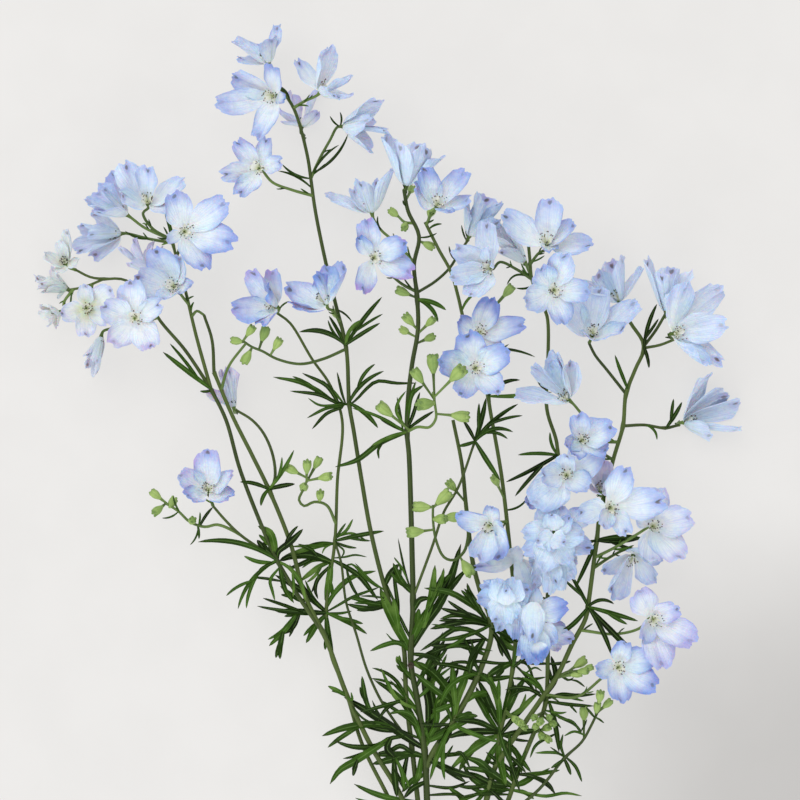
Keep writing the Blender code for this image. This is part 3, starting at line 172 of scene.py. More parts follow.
BLOOMS = [
    Bloom(1, (262, 45), 26, 110, 74, 100, 16, 22, "blue", "upper_left", [(273, 74), (279, 86)]),
    Bloom(2, (268, 97), 50, 200, 32, 75, 20, 14, "blue", "upper_left", [(284, 94), (287, 98)]),
    Bloom(3, (330, 82), 42, 42, 52, 98, 18, 19, "blue", "upper_left",
          [(317, 94), (305, 101), (294, 109)]),
    Bloom(4, (363, 126), 30, 0, 70, 35, 17, 24, "blue", "upper_left",
          [(340, 128), (330, 140), (320, 158), (311, 180)]),
    Bloom(5, (303, 111), 8.2, 85, 104, 60, 13, 20, "lilac", "upper_left", [(303, 134), (304, 146)]),
    Bloom(6, (257, 168), 50, 190, 12, 54, 18.5, 12, "blue", "upper_left",
          [(272, 182), (292, 190), (313, 196)]),
    Bloom(7, (147, 195), 44, 90, 36, 88, 18.5, 16, "blue", "left_high_arm",
          [(143, 213), (152, 228), (172, 240)]),
    Bloom(8, (110, 203), 26, 145, 66, 130, 13, 24, "blue", "left_high_arm",
          [(128, 217), (145, 228), (172, 240)]),
    Bloom(9, (103, 235), 16, 186, 60, 160, 14, 22, "blue", "left_high_arm",
          [(126, 236), (150, 239), (173, 245)]),
    Bloom(10, (188, 231), 50, 0, 25, 37, 20, 14, "blue", "left_high_arm", [(180, 246), (176, 257)]),
    Bloom(11, (134, 256), 22, 130, 80, 130, 9, 22, "lilac", "left_low_arm", [(146, 275)]),
    Bloom(12, (171, 284), 46, 140, 20, 71, 18, 14, "blue", "left_high_arm", [(182, 296), (188, 304)]),
    Bloom(13, (135, 318), 53, 0, 6, 90, 19, 12, "pale", "left_low_arm", [(144, 312), (152, 306)]),
    Bloom(14, (87, 308), 34, 0, 10, 20, 14, 10, "green", "far_left_fork", [(90, 296), (92, 285)]),
    Bloom(15, (55, 282), 5.4, 150, 78, 140, 11, 16, "green", "far_left_fork", [(68, 290)]),
    Bloom(16, (62, 258), 26, 120, 40, 100, 10, 11, "green", "far_left_twig", [(76, 270)]),
    Bloom(17, (96, 355), 14, -105, 76, -90, 8, 22, "pale", "left_low_arm",
          [(103, 335), (130, 326), (159, 319)]),
    Bloom(18, (50, 318), 16, 215, 60, 200, 9, 13, "green", "far_left_fork", [(64, 302), (74, 290)]),
    Bloom(19, (230, 388), 13, 100, 78, 90, 8, 22, "lilac", "closed_flower_stalk", [(236, 410)]),
    Bloom(20, (208, 486), 36, 90, 28, 90, 16.5, 13, "blue", "low_left_twig", [(213, 506)]),
    Bloom(21, (268, 302), 38, 150, 40, 116, 17, 15, "blue", "slim_left", [(277, 313)]),
    Bloom(22, (319, 289), 46, 115, 58, 100, 18, 22, "blue", "upper_left", [(332, 310), (339, 322)]),
    Bloom(23, (376, 258), 44, -10, 15, 37, 18.5, 13, "blue", "main",
          [(388, 272), (402, 284), (416, 292)]),
    Bloom(24, (368, 194), 24, 102, 74, 100, 20, 22, "blue", "main",
          [(374, 218), (381, 230), (396, 243), (414, 264)]),
    Bloom(25, (410, 165), 32, 80, 74, 80, 18.5, 24, "blue", "main", [(404, 190)]),
    Bloom(26, (440, 199), 50, 65, 36, 44, 19, 15, "blue", "second", [(432, 213), (426, 225)]),
    Bloom(27, (480, 216), 24, 62, 76, 60, 12, 26, "blue", "link", [(468, 240)]),
    Bloom(28, (487, 268), 50, 180, 22, 65, 19, 14, "blue", "vertical",
          [(500, 262), (516, 269), (532, 279)]),
    Bloom(29, (513, 245), 16, 125, 80, 120, 9.5, 24, "pale", "vertical", [(526, 264), (532, 278)]),
    Bloom(30, (547, 236), 46, 95, 38, 90, 20, 15, "blue", "vertical", [(539, 253), (531, 264)]),
    Bloom(31, (556, 290), 48, 0, 10, 63, 19, 13, "blue", "vertical", [(548, 298), (542, 304)]),
    Bloom(32, (595, 326), 36, 76, 42, 90, 17, 17, "blue", "right_inner_fork", [(589, 343)]),
    Bloom(33, (612, 283), 20, 112, 76, 110, 17, 24, "blue", "right", [(621, 303)]),
    Bloom(34, (663, 289), 20, 98, 78, 100, 14, 26, "blue", "right_upper_fork", [(666, 313)]),
    Bloom(35, (685, 332), 42, 8, 42, -30, 20, 18, "blue", "right_lower_fork", [(673, 340)]),
    Bloom(36, (707, 421), 7.8, 4, 74, 60, 18, 27, "blue", "right_outer_fork", [(679, 425)]),
    Bloom(37, (555, 388), 40, 140, 62, 130, 16, 24, "blue", "right",
          [(573, 403), (586, 420), (600, 440), (618, 442)]),
    Bloom(38, (482, 330), 40, 50, 28, 82, 18, 13, "blue", "second", [(474, 340), (470, 338)]),
    Bloom(39, (477, 368), 56, 0, 8, 45, 19.5, 13, "blue", "second", [(480, 374), (483, 378)]),
    Bloom(40, (584, 438), 54, 60, 22, 43, 15, 12, "blue", "right", [(600, 452), (613, 460)]),
    Bloom(41, (566, 474), 48, 120, 12, 110, 17, 13, "blue", "vertical", [(560, 480), (557, 488)]),
    Bloom(42, (600, 480), 36, 95, 52, 80, 13, 17, "lilac", "right", [(606, 486)]),
    Bloom(43, (612, 508), 58, 0, 8, 50, 19, 12, "blue", "right", [(606, 512), (600, 516)]),
    Bloom(44, (656, 527), 46, 0, 14, 22, 19.5, 14, "pale", "right",
          [(636, 535), (614, 548), (596, 558)]),
    Bloom(45, (632, 566), 28, -100, 48, -80, 15, 16, "blue", "right",
          [(628, 549), (612, 556), (594, 568)]),
    Bloom(46, (556, 524), 48, -60, 32, 20, 16, 14, "blue", "vertical", [(554, 530), (553, 540)]),
    Bloom(47, (553, 566), 38, -88, 54, -90, 12, 18, "blue", "vertical", [(552, 548), (551, 556)]),
    Bloom(48, (540, 496), 34, 190, 30, 180, 14, 14, "blue", "vertical", [(552, 500), (556, 503)]),
    Bloom(49, (487, 530), 46, -120, 28, 140, 16, 14, "blue", "second", [(498, 522), (508, 522)]),
    Bloom(50, (505, 600), 44, -95, 42, -90, 15, 16, "blue", "second", [(510, 590), (514, 598)]),
    Bloom(51, (536, 622), 44, -92, 56, -80, 13, 22, "blue", "vertical", [(540, 604), (549, 598)]),
    Bloom(52, (556, 622), 33, 20, 30, 60, 12, 14, "lilac", "vertical", [(552, 618), (549, 612)]),
    Bloom(53, (504, 555), 33, 185, 40, 150, 12.5, 13, "pale", "second", [(516, 560), (511, 556)]),
    Bloom(54, (657, 621), 42, -20, 18, 127, 19.5, 15, "lilac", "right",
          [(640, 628), (615, 634), (580, 630)]),
    Bloom(55, (620, 668), 40, 0, 8, 29, 17.5, 12, "blue", "right",
          [(602, 678), (576, 697), (545, 695)]),
]

# A twig of buds from its tip to its root on the parent stem, with the places of its buds.
Twig = namedtuple("Twig", "name path heights parent buds")

BUD_TWIGS = [
    Twig("left_buds",
         [(243, 341), (252, 347), (262, 351), (277, 359), (300, 364), (323, 359), (346, 349)],
         (36, 34, 24), "upper_left",
         [(237, 341), (250, 331), (264, 334), (277, 344), (247, 357)]),
    Twig("big_buds",
         [(433, 392), (435, 405), (436, 418), (430, 427), (418, 427), (408, 432)],
         (48, 44, 30), "main",
         [(433, 364), (418, 376), (457, 374), (426, 404), (460, 416), (385, 410)]),
    Twig("curled_buds",
         [(433, 505), (433, 520), (436, 540), (444, 557), (454, 560), (464, 552), (468, 540),
          (469, 528)],
         (44, 40, 26), "bud_stem",
         [(422, 507), (415, 532), (443, 498), (440, 519), (452, 517), (467, 568)]),
    Twig("small_left_buds",
         [(308, 478), (303, 490), (299, 500), (304, 506), (314, 502), (326, 505), (335, 524)],
         (34, 30, 20), "slim_left",
         [(292, 470), (307, 467), (317, 463), (325, 477), (304, 487), (320, 496)]),
    Twig("low_left_buds",
         [(165, 503), (178, 511), (190, 522), (205, 527), (217, 525), (232, 531), (240, 536)],
         (24, 24, 24), "low_left_twig",
         [(156, 495), (158, 510), (172, 503), (192, 521)]),
    Twig("top_buds",
         [(398, 216), (404, 222), (413, 224)],
         (24, 28), "main",
         [(394, 213), (405, 226)]),
    Twig("low_right_buds",
         [(572, 670), (563, 674), (556, 679)],
         (24, 24), "right",
         [(580, 663), (583, 671)]),
]

# Buds that sit on a stem by themselves: the bud, and the point of the stem under it.
Bud = namedtuple("Bud", "place height stem foot")

LONE_BUDS = [
    Bud((411, 190), 20, "main", (406, 202)),
    Bud((431, 212), 24, "second", (426, 226)),
    Bud((428, 245), 28, "main", (418, 241)),
    Bud((403, 292), 30, "main", (417, 298)),
    Bud((409, 320), 34, "main", (418, 330)),
    Bud((430, 322), 34, "main", (418, 334)),
    Bud((405, 331), 22, "main", (418, 338)),
    Bud((429, 338), 26, "main", (417, 344)),
    Bud((336, 314), 18, "upper_left", (343, 334)),
    Bud((508, 291), 30, "second", (470, 336)),
    Bud((452, 486), 34, "bud_stem", (465, 503)),
    Bud((496, 481), 32, "second", (504, 500)),
    Bud((600, 697), 34, "low_right_twig", (598, 712)),
    Bud((607, 704), 28, "low_right_twig", (598, 713)),
    Bud((584, 714), 20, "low_right_twig", (584, 738)),
    Bud((540, 722), 34, "vertical", (540, 732)),
    Bud((546, 728), 26, "vertical", (537, 736)),
    Bud((519, 722), 30, "second", (505, 712)),
]

# Smaller buds crowded round those, seen only from near.
CROWDED_BUDS = [
    Bud((549, 717), 32, "vertical", (545, 714)),
    Bud((535, 717), 30, "vertical", (545, 714)),
    Bud((552, 723), 28, "vertical", (545, 718)),
    Bud((536, 726), 30, "vertical", (543, 724)),
    Bud((541, 735), 28, "vertical", (541, 728)),
    Bud((547, 738), 24, "vertical", (541, 729)),
    Bud((515, 719), 30, "second", (505, 712)),
    Bud((523, 726), 27, "second", (505, 714)),
    Bud((588, 668), 26, "right", (556, 679)),
    Bud((576, 674), 24, "right", (557, 678)),
    Bud((597, 708), 30, "low_right_twig", (595, 716)),
]

# A palmate leaf: the point of the stem where its lobes meet, how far its tips rise above that
# point, and the tips of its plain lobes. The other lobes of these leaves are in FRONDS.
Leaf = namedtuple("Leaf", "stem node rise tips")

LEAVES = [
    Leaf("upper_left", (348, 345), 2, [(299, 332), (329, 316), (382, 297), (380, 323), (362, 320)]),
    Leaf("upper_left", (349, 403), 0, [(384, 371), (378, 428)]),
    Leaf("main", (407, 432), 0, [(380, 419), (371, 446)]),
    Leaf("petiole", (475, 441), 2,
         [(463, 420), (458, 446), (513, 432), (486, 398), (518, 404), (500, 480)]),
    Leaf("vertical", (557, 455), -2, [(506, 482), (518, 455)]),
    Leaf("left", (269, 489), 4, [(240, 482), (261, 506), (294, 450), (295, 484)]),
    Leaf("slim_left", (334, 541), 4, [(384, 531)]),
    Leaf("left_outer", (272, 562), 2, [(198, 542), (238, 609)]),
    Leaf("slim_left", (326, 613), -2, [(257, 606), (367, 634)]),
    Leaf("main", (413, 602), 4, []),
    Leaf("main", (411, 652), 4, []),
    Leaf("main", (426, 750), 2, [(470, 700)]),
    Leaf("upper_left", (404, 700), 2, [(372, 668), (378, 722), (360, 712)]),
    Leaf("bud_stem", (489, 624), 2, [(434, 640)]),
    Leaf("bud_stem", (478, 673), 4, [(432, 664), (440, 706), (498, 700), (462, 634)]),
    Leaf("bud_stem", (452, 724), 4, [(408, 724), (430, 780), (500, 742), (436, 690)]),
    Leaf("second", (513, 668), 2, [(545, 640), (528, 628)]),
    Leaf("second", (499, 736), 2, [(532, 700), (520, 792)]),
    Leaf("vertical", (549, 702), 4, [(505, 690), (520, 670)]),
    Leaf("vertical", (521, 776), 4, [(560, 770), (556, 795), (486, 752), (498, 722)]),
    Leaf("low_right_twig", (566, 758), 2, []),
    Leaf("right", (588, 606), 3, [(569, 572), (614, 604), (638, 621), (644, 664), (612, 656), (553, 637)]),
    Leaf("right", (597, 540), -4, [(644, 537), (570, 556), (575, 588)]),
    Leaf("right", (492, 790), 4, [(448, 806), (462, 828), (516, 838)]),
    Leaf("main", (428, 840), 3, [(380, 812), (392, 846), (462, 862), (400, 878)]),
    Leaf("left_outer", (211, 388), 2, [(163, 352)]),
    Leaf("second", (489, 396), -2, [(520, 380), (552, 392)]),
    Leaf("right", (645, 347), -2, [(657, 304), (649, 368)]),
    Leaf("right", (624, 388), 2, [(615, 355)]),
    Leaf("right_outer_fork", (667, 427), 3, [(682, 402)]),
    Leaf("main", (418, 300), 2, [(446, 310), (438, 322)]),
    Leaf("left_high_arm", (172, 244), 3, [(165, 214)]),
]

# Each flower's five sepal tips: pixels of the photograph, and how far each tip lies above the
# middle of its flower, in millimetres.
SEPAL_TIPS = {
    1: [(232, 41, 0), (237, 60, -6), (272, 38, 12), (280, 25, -4), (258, 44, -12)],
    2: [(273, 63, 5), (231, 76, 1), (216, 105, 4), (258, 141, 6), (286, 100, -2)],
    3: [(326, 46, 3), (297, 59, -4), (353, 80, 8), (352, 99, 2), (334, 97, 13)],
    4: [(376, 96, 2), (366, 119, 12), (388, 131, 3), (371, 154, -4), (374, 116, -11)],
    5: [(276, 112, 2), (282, 122, 8), (290, 93, -5), (320, 91, -6), (318, 113, 8)],
    6: [(235, 140, 4), (268, 137, 2), (284, 161, 7), (238, 196, 4), (220, 174, 5)],
    7: [(149, 165, 5), (123, 162, 1), (119, 197, 4), (186, 182, 3), (171, 209, 4)],
    8: [(84, 203, 2), (113, 171, -6), (98, 214, 10), (104, 188, 5), (94, 192, -9)],
    9: [(79, 224, 2), (95, 210, -4), (90, 235, 11), (75, 252, 1), (92, 258, -6)],
    10: [(175, 191, 5), (229, 203, 1), (236, 241, 2), (202, 272, 3), (166, 240, 0)],
    11: [(118, 249, 4), (135, 239, -4), (153, 241, -6), (163, 247, 2), (130, 263, 8)],
    12: [(155, 247, 3), (133, 281, 6), (183, 257, 0), (192, 285, 3), (163, 300, 8)],
    13: [(128, 280, 4), (100, 307, 4), (163, 304, 0), (155, 349, 4), (112, 346, 3)],
    14: [(114, 290, 2), (109, 322, 3), (84, 338, 3), (60, 315, 2), (84, 284, 0)],
    15: [(36, 277, 2), (43, 293, 6), (52, 267, -3), (40, 284, 9), (58, 298, -3)],
    16: [(70, 230, 2), (43, 257, 3), (80, 262, 1), (57, 274, 4), (62, 240, 0)],
    17: [(91, 375, 3), (85, 366, -4), (97, 363, 6), (83, 355, 1), (98, 357, -5)],
    18: [(41, 304, 2), (46, 323, 3), (58, 328, 3), (38, 314, -3), (52, 306, 6)],
    19: [(221, 371, 3), (229, 368, 7), (237, 372, 0), (206, 392, -1), (229, 371, -7)],
    20: [(208, 449, 2), (179, 472, 4), (235, 473, 4), (185, 496, 8), (231, 501, 8)],
    21: [(249, 270, 3), (272, 269, 1), (231, 309, 4), (258, 326, 5), (271, 288, 12)],
    22: [(284, 292, -3), (290, 309, 5), (347, 265, 0), (321, 275, 11), (331, 267, -9)],
    23: [(368, 218, 4), (357, 236, 1), (407, 241, 3), (414, 273, 4), (360, 293, 3)],
    24: [(325, 198, 0), (359, 181, 11), (380, 183, -9), (395, 170, 2), (350, 190, -10)],
    25: [(382, 137, 0), (398, 145, 11), (418, 144, -8), (430, 150, 9), (445, 157, -2)],
    26: [(426, 166, 2), (466, 170, 2), (412, 187, 4), (471, 204, 0), (450, 215, 9)],
    27: [(478, 194, 8), (463, 199, 2), (505, 206, 0), (488, 196, -8), (500, 224, 6)],
    28: [(456, 243, 5), (450, 278, 4), (470, 298, 5), (488, 250, 13), (484, 221, -2)],
    29: [(488, 222, -4), (491, 238, 6), (500, 252, 6), (508, 221, -7), (516, 228, 3)],
    30: [(551, 198, 2), (576, 226, 4), (592, 247, 2), (502, 213, -2), (552, 252, 9)],
    31: [(566, 252, 4), (538, 267, 3), (523, 305, 4), (565, 325, 4), (590, 292, 0)],
    32: [(564, 302, 2), (586, 337, 9), (627, 328, 6), (637, 300, -3), (600, 286, -5)],
    33: [(575, 284, 5), (596, 275, -7), (626, 257, 7), (643, 268, -3), (612, 262, -9)],
    34: [(642, 260, 2), (662, 274, 10), (683, 287, 9), (695, 272, -3), (672, 268, -9)],
    35: [(685, 282, 2), (727, 322, 3), (723, 362, -3), (706, 367, 8), (717, 284, -8)],
    36: [(705, 372, 3), (740, 402, -3), (740, 434, 5), (724, 392, -8), (709, 437, 9)],
    37: [(532, 364, 4), (551, 361, -6), (572, 361, -10), (559, 351, 2), (515, 399, 8)],
    38: [(494, 297, 5), (526, 325, 4), (457, 320, 0), (502, 352, -3), (466, 346, -5)],
    39: [(467, 330, 4), (438, 358, 4), (460, 397, 4), (501, 392, 5), (509, 351, 3)],
    40: [(579, 413, 3), (615, 426, 2), (565, 445, 3), (574, 458, 5), (607, 454, 1)],
    41: [(566, 453, 3), (602, 449, 1), (540, 474, 4), (530, 504, 3), (588, 490, 6)],
    42: [(611, 472, 2), (590, 464, 4), (583, 486, 6), (604, 460, -5), (614, 490, -3)],
    43: [(629, 467, 4), (666, 503, 0), (630, 535, 4), (603, 528, 5), (576, 512, 2)],
    44: [(693, 518, 2), (682, 561, 4), (651, 487, -4), (654, 563, 4), (638, 508, 4)],
    45: [(608, 596, 4), (601, 570, -2), (658, 580, 4), (640, 547, 6), (663, 558, -3)],
    46: [(530, 510, -2), (520, 546, 4), (540, 556, 8), (567, 553, 8), (587, 546, 2)],
    47: [(554, 592, 6), (538, 580, 4), (571, 570, 1), (562, 586, -4), (545, 588, -5)],
    48: [(529, 488, 3), (526, 506, 2), (549, 478, -2), (562, 498, 2), (545, 513, 4)],
    49: [(456, 516, 4), (477, 562, 6), (500, 560, 1), (504, 530, -2), (494, 506, -3)],
    50: [(478, 593, 4), (492, 622, 6), (524, 624, 3), (530, 586, -2), (502, 577, -4)],
    51: [(536, 664, 4), (519, 648, 3), (552, 655, 0), (567, 606, -3), (530, 641, 10)],
    52: [(560, 598, 2), (572, 638, 4), (552, 650, 1), (538, 632, 0), (571, 614, 4)],
    53: [(478, 568, 2), (494, 550, -2), (530, 558, 0), (532, 588, 3), (506, 578, 4)],
    54: [(640, 587, 3), (679, 605, 4), (695, 643, 3), (661, 669, 4), (641, 641, 3)],
    55: [(627, 641, 3), (595, 668, 4), (621, 704, 4), (656, 689, 3), (656, 655, 0)],
}

# The flowers of the crowded group that show no throat, sepal by sepal: the pixels of its base and
# its tip, its full width in pixels, how far it lies above the middle of its flower, how much its
# tip rises, how deep its blue is and how dark the gland at its tip is.
Laid = namedtuple("Laid", "base tip width rise slope deep gland")

LAID_SEPALS = {
    46: [((571, 524), (586, 510), 24, -5, -2, 0.9, 1.0), ((553, 527), (540, 506), 28, -4, 0, 0.2, 0.1),
         ((556, 526), (564, 506), 26, -4, 0, 0.3, 0.3), ((552, 532), (522, 534), 26, -3, 0, 0.1, 0.2),
         ((552, 540), (523, 552), 28, -4, -1, 0.3, 0.2), ((560, 538), (592, 549), 26, -5, -2, 0.4, 1.0),
         ((553, 540), (540, 570), 32, -2, 0, 0.0, 0.1), ((556, 540), (571, 562), 26, -2, 0, 0.0, 0.2),
         ((560, 534), (584, 534), 28, -2, 0, 0.1, 0.4), ((555, 530), (551, 512), 22, 1, 2, 0.0, 1.0),
         ((556, 532), (571, 516), 18, 0, 1, 0.5, 0.9), ((554, 538), (535, 541), 20, 1, 2, 0.0, 0.7),
         ((552, 537), (566, 543), 20, 2, 2, 0.0, 1.1), ((552, 536), (551, 552), 18, 1, 1, 0.0, 0.1)],
    47: [((552, 560), (577, 562), 24, -3, -2, 0.3, 0.3), ((552, 560), (530, 564), 26, -3, -2, 0.2, 0.1),
         ((553, 556), (534, 584), 24, -2, -3, 0.2, 0.1), ((556, 556), (573, 579), 22, -1, -2, 0.1, 0.2),
         ((553, 554), (548, 594), 22, 1, 0, 0.1, 0.1), ((555, 556), (562, 591), 18, 0, 0, 0.2, 0.1),
         ((553, 562), (556, 584), 16, 4, 0, 0.0, 1.1)],
    50: [((505, 600), (477, 597), 24, -3, 0, 0.7, 0.4), ((505, 596), (482, 582), 22, -3, 0, 0.5, 0.1),
         ((508, 598), (530, 588), 28, -3, 0, 0.5, 0.8), ((508, 606), (498, 630), 20, -5, -3, 0.3, 0.6),
         ((516, 610), (514, 639), 22, -6, -3, 0.9, 0.1), ((506, 600), (494, 622), 28, -1, -1, 0.2, 0.8),
         ((508, 600), (509, 624), 26, 0, -1, 0.1, 0.1), ((510, 598), (524, 615), 26, -1, -1, 0.2, 0.1),
         ((503, 602), (496, 578), 24, 0, 0, 0.3, 0.1), ((508, 602), (516, 578), 28, 0, 0, 0.1, 0.1),
         ((506, 605), (506, 587), 18, 3, 2, 0.1, 1.1)],
    51: [((536, 606), (536, 588), 13, -4, 0, 0.0, 0.0), ((538, 614), (568, 605), 26, -6, 1, 1.2, 0.2),
         ((536, 628), (520, 657), 22, -3, -2, 0.7, 0.3), ((538, 626), (555, 644), 24, -4, -2, 0.4, 0.2),
         ((535, 628), (534, 665), 32, -2, -2, 1.0, 0.1), ((538, 642), (541, 660), 18, 1, -1, 3.0, 0.1),
         ((531, 604), (522, 634), 18, 0, 0, 0.3, 0.1), ((534, 602), (532, 642), 24, 2, 1, 0.1, 1.1)],
    52: [((549, 632), (573, 640), 20, -3, 0, 0.3, 1.1), ((547, 626), (566, 628), 16, -5, 0, 0.7, 0.2),
         ((550, 640), (560, 650), 13, -6, 0, 0.2, 0.3)],
    53: [((512, 562), (475, 567), 17, 0, -3, 0.8, 0.3), ((500, 560), (482, 558), 12, 1, -2, 0.5, 0.1),
         ((511, 562), (521, 548), 18, -2, 1, 0.0, 0.1), ((514, 562), (498, 553), 14, -2, 1, 0.0, 0.1),
         ((516, 560), (538, 588), 20, -4, -4, 0.0, 0.1), ((518, 560), (531, 603), 18, -1, -3, 0.3, 0.1)],
}

# The stalks of the flowers
STALK_RADIUS = 0.82
STALK_FLARE = 1.5  # a stalk's radius where the flower sits on it
STALK_BEND = 3.5  # how far a stalk runs straight on from its flower before it bends
STALK_ROOT_SHARE = 0.6  # the height at which a stalk looks for its stem, as a share of its flower's
CLOSEST_WAYPOINT = 0.1  # the least run from one point of a stalk to the next, as a share of it

# The sepals
SEPALS = 5
SEPAL_THICKNESS = 0.34
SEPAL_SEAT = 0.4  # the middle of a sepal in front of its flower's cup, as in the solids
SEPAL_ROWS = 18
SEPAL_COLUMNS = 25
FLOWER_FOOT_RADIUS = 1.5
LEAST_SIDE = 0.4  # below this share, a sepal's heading lies too near the axis to steer by
LOWEST = 0.25  # nothing comes nearer to the surface than this

# The buds
BUD_LENGTH = 9.0
BUD_RADIUS = 2.9
BUD_RISES = (-2.0, 3.0)  # how far above their twig its buds lie, in turn
BUD_LIFTS = {(457, 374): 14.0}  # a bud that lies on a sepal of the flower beside it
BUD_SLANT = 0.4  # how far down its twig a bud's stalk starts, as a share of how far off the bud is
BUD_SIZES = {"big_buds": 1.16, "curled_buds": 1.12, "left_buds": 0.88, "low_left_buds": 0.84,
             "small_left_buds": 0.84, "top_buds": 0.8, "low_right_buds": 0.84, "lone": 0.84, "crowded": 0.7}

# The leaves
LEAF_WANDER = 6.0  # how far above or below its leaf's rise the tip of a plain lobe may lie
LOWEST_TIP = 2.0  # the tips of leaves come no nearer to the surface than this
LEAF_WIDTHS = (2.2, 3.6)  # a lobe's full width, for the shortest and the longest lobe
LEAF_REACH = 60.0  # the length of the longest lobe
LEAF_THICKNESS = 0.32
LEAF_RISE = 1.1  # a leaf starts this far above the middle of its stem

CREASE = math.radians(55.0)  # edges sharper than this aren't smoothed


def spot(place, height):
    """The point that the eye sees at this pixel of the photograph, at this height in millimetres."""
    nearness = 1.0 - height * MM / EYE_HEIGHT
    eye_x = (EYE_PIXEL[0] - SPRAY_MIDDLE[0]) * PIXEL_SIZE
    eye_y = (SPRAY_MIDDLE[1] - EYE_PIXEL[1]) * PIXEL_SIZE
    x = eye_x + (place[0] - EYE_PIXEL[0]) * PIXEL_SIZE * nearness
    y = eye_y + (EYE_PIXEL[1] - place[1]) * PIXEL_SIZE * nearness
    return Vector((x, y, height * MM))


def between(values, share):
    """The value at this share of the way along evenly spaced values."""
    place = share * (len(values) - 1)
    first = min(int(place), len(values) - 2)
    rest = place - first
    return values[first] * (1.0 - rest) + values[first + 1] * rest


def shares_along(points):
    """How far along its path each point lies, from 0 to 1."""
    lengths = [0.0]
    for start, end in zip(points, points[1:]):
        lengths.append(lengths[-1] + (Vector(end) - Vector(start)).length)
    return [length / lengths[-1] for length in lengths]


def nearest_on(path, point):
    """The point of a path that lies nearest to this point, seen from above."""
    best, best_distance = path[0], math.inf
    for start, end in zip(path, path[1:]):
        run = end - start
        share = (point.xy - start.xy).dot(run.xy) / max(run.xy.length_squared, 1e-12)
        candidate = start + run * min(max(share, 0.0), 1.0)
        distance = (candidate.xy - point.xy).length
        if distance < best_distance:
            best, best_distance = candidate, distance
    return best.copy()


def path_points(pixels, heights):
    """The points that the eye sees at these pixels, with the heights spread evenly along them."""
    shares = shares_along(pixels)
    return [spot(pixel, between(heights, share)) for pixel, share in zip(pixels, shares)]


def rooted(points, parent_path):
    """The path with its last point moved onto the parent, and the points before it eased after it."""
    root = nearest_on(parent_path, points[-1])
    shift = root - points[-1]
    shares = shares_along(points)
    return [point + shift * share ** 3 for point, share in zip(points, shares)]


# The knots between which a curve blends its points: three pairs first, then two, then one.
CURVE_SPANS = (((0, 1), (1, 2), (2, 3)), ((0, 2), (1, 3)), ((1, 2),))


def curve_point(a, b, c, d, share):
    """A point between b and c on the centripetal curve through all four."""
    knots = [0.0]
    for start, end in ((a, b), (b, c), (c, d)):
        knots.append(knots[-1] + max(math.sqrt((end - start).length), 1e-6))
    place = knots[1] + (knots[2] - knots[1]) * share
    level = [a, b, c, d]
    for spans in CURVE_SPANS:
        following = []
        for first, (low, high) in enumerate(spans):
            part = (place - knots[low]) / (knots[high] - knots[low])
            following.append(level[first] * (1.0 - part) + level[first + 1] * part)
        level = following
    return level[0]


def turned(run, turn, lift=0.0):
    """A run turned to its left by this angle, seen from above, with its end lifted."""
    return Vector((run.x * math.cos(turn) - run.y * math.sin(turn),
                   run.x * math.sin(turn) + run.y * math.cos(turn), run.z + lift))


def above_floor(points):
    """The points, with none of them nearer to the surface than it may be."""
    points[..., 2] = np.maximum(points[..., 2], LOWEST * MM)
    return points


def smooth(points, spacing):
    """Points about this far apart, in millimetres, on a smooth curve through the given ones."""
    ends = [points[0] * 2.0 - points[1], *points, points[-1] * 2.0 - points[-2]]
    made = []
    for a, b, c, d in zip(ends, ends[1:], ends[2:], ends[3:]):
        steps = max(1, round((c - b).length / (spacing * MM)))
        made += [curve_point(a, b, c, d, step / steps) for step in range(steps)]
    return made + [points[-1]]


FIRST_GUIDE = (0.31, 0.17, 1.0)  # no path starts this way, so it shows where a first side may point


def frames_along(points):
    """The run and a pair of side vectors at each point, carried along the path without a twist."""
    points = np.asarray(points, float)
    runs = points[1:] - points[:-1]
    runs /= np.linalg.norm(runs, axis=1)[:, None]
    tangents = np.vstack([runs[:1], runs[:-1] + runs[1:], runs[-1:]])
    tangents /= np.linalg.norm(tangents, axis=1)[:, None]
    side = np.cross(tangents[0], FIRST_GUIDE)
    sides = []
    for tangent in tangents:
        side = side - tangent * side.dot(tangent)
        side /= np.linalg.norm(side)
        sides.append(side)
    sides = np.array(sides)
    return tangents, sides, np.cross(tangents, sides)


class Surface:
    """The points, faces and point values of one piece, gathered from its many small bodies."""

    def __init__(self, *names):
        self.points, self.quads, self.caps = [], [], []
        self.values = {name: [] for name in names}
        self.count = 0

    def add(self, points, quads, caps=(), **values):
        """Take in one more body; a point value that isn't given is 0."""
        points = np.asarray(points, float).reshape(-1, 3)
        self.points.append(points)
        self.quads.append(np.asarray(quads) + self.count)
        self.caps += [[corner + self.count for corner in cap] for cap in caps]
        for name, parts in self.values.items():
            given = np.asarray(values.get(name, 0.0), float).reshape(-1)
            parts.append(np.broadcast_to(given, (len(points),)))
        self.count += len(points)

    def piece(self, name, material, slot=None):
        """The whole piece as one mesh that rides on the root."""
        mesh = bpy.data.meshes.new(name)
        faces = np.concatenate(self.quads).tolist() + self.caps
        mesh.from_pydata(np.concatenate(self.points).tolist(), [], faces)
        for value, parts in self.values.items():
            held = mesh.attributes.new(value, "FLOAT", "POINT")
            held.data.foreach_set("value", np.concatenate(parts).astype(np.float32))
        mesh.shade_smooth()
        mesh.set_sharp_from_angle(angle=CREASE)
        mesh.materials.append(material)
        shape = bpy.data.objects.new(name, mesh)
        bpy.context.scene.collection.objects.link(shape)
        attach(shape, "root")
        return shape


def ring_quads(rows, around):
    """The numbers of the points of closed rings, row by row, and the faces between the rows."""
    index = np.arange(rows * around).reshape(rows, around)
    following = np.roll(index, -1, axis=1)
    quads = np.stack([index[:-1], following[:-1], following[1:], index[1:]], axis=-1)
    return index, quads.reshape(-1, 4)


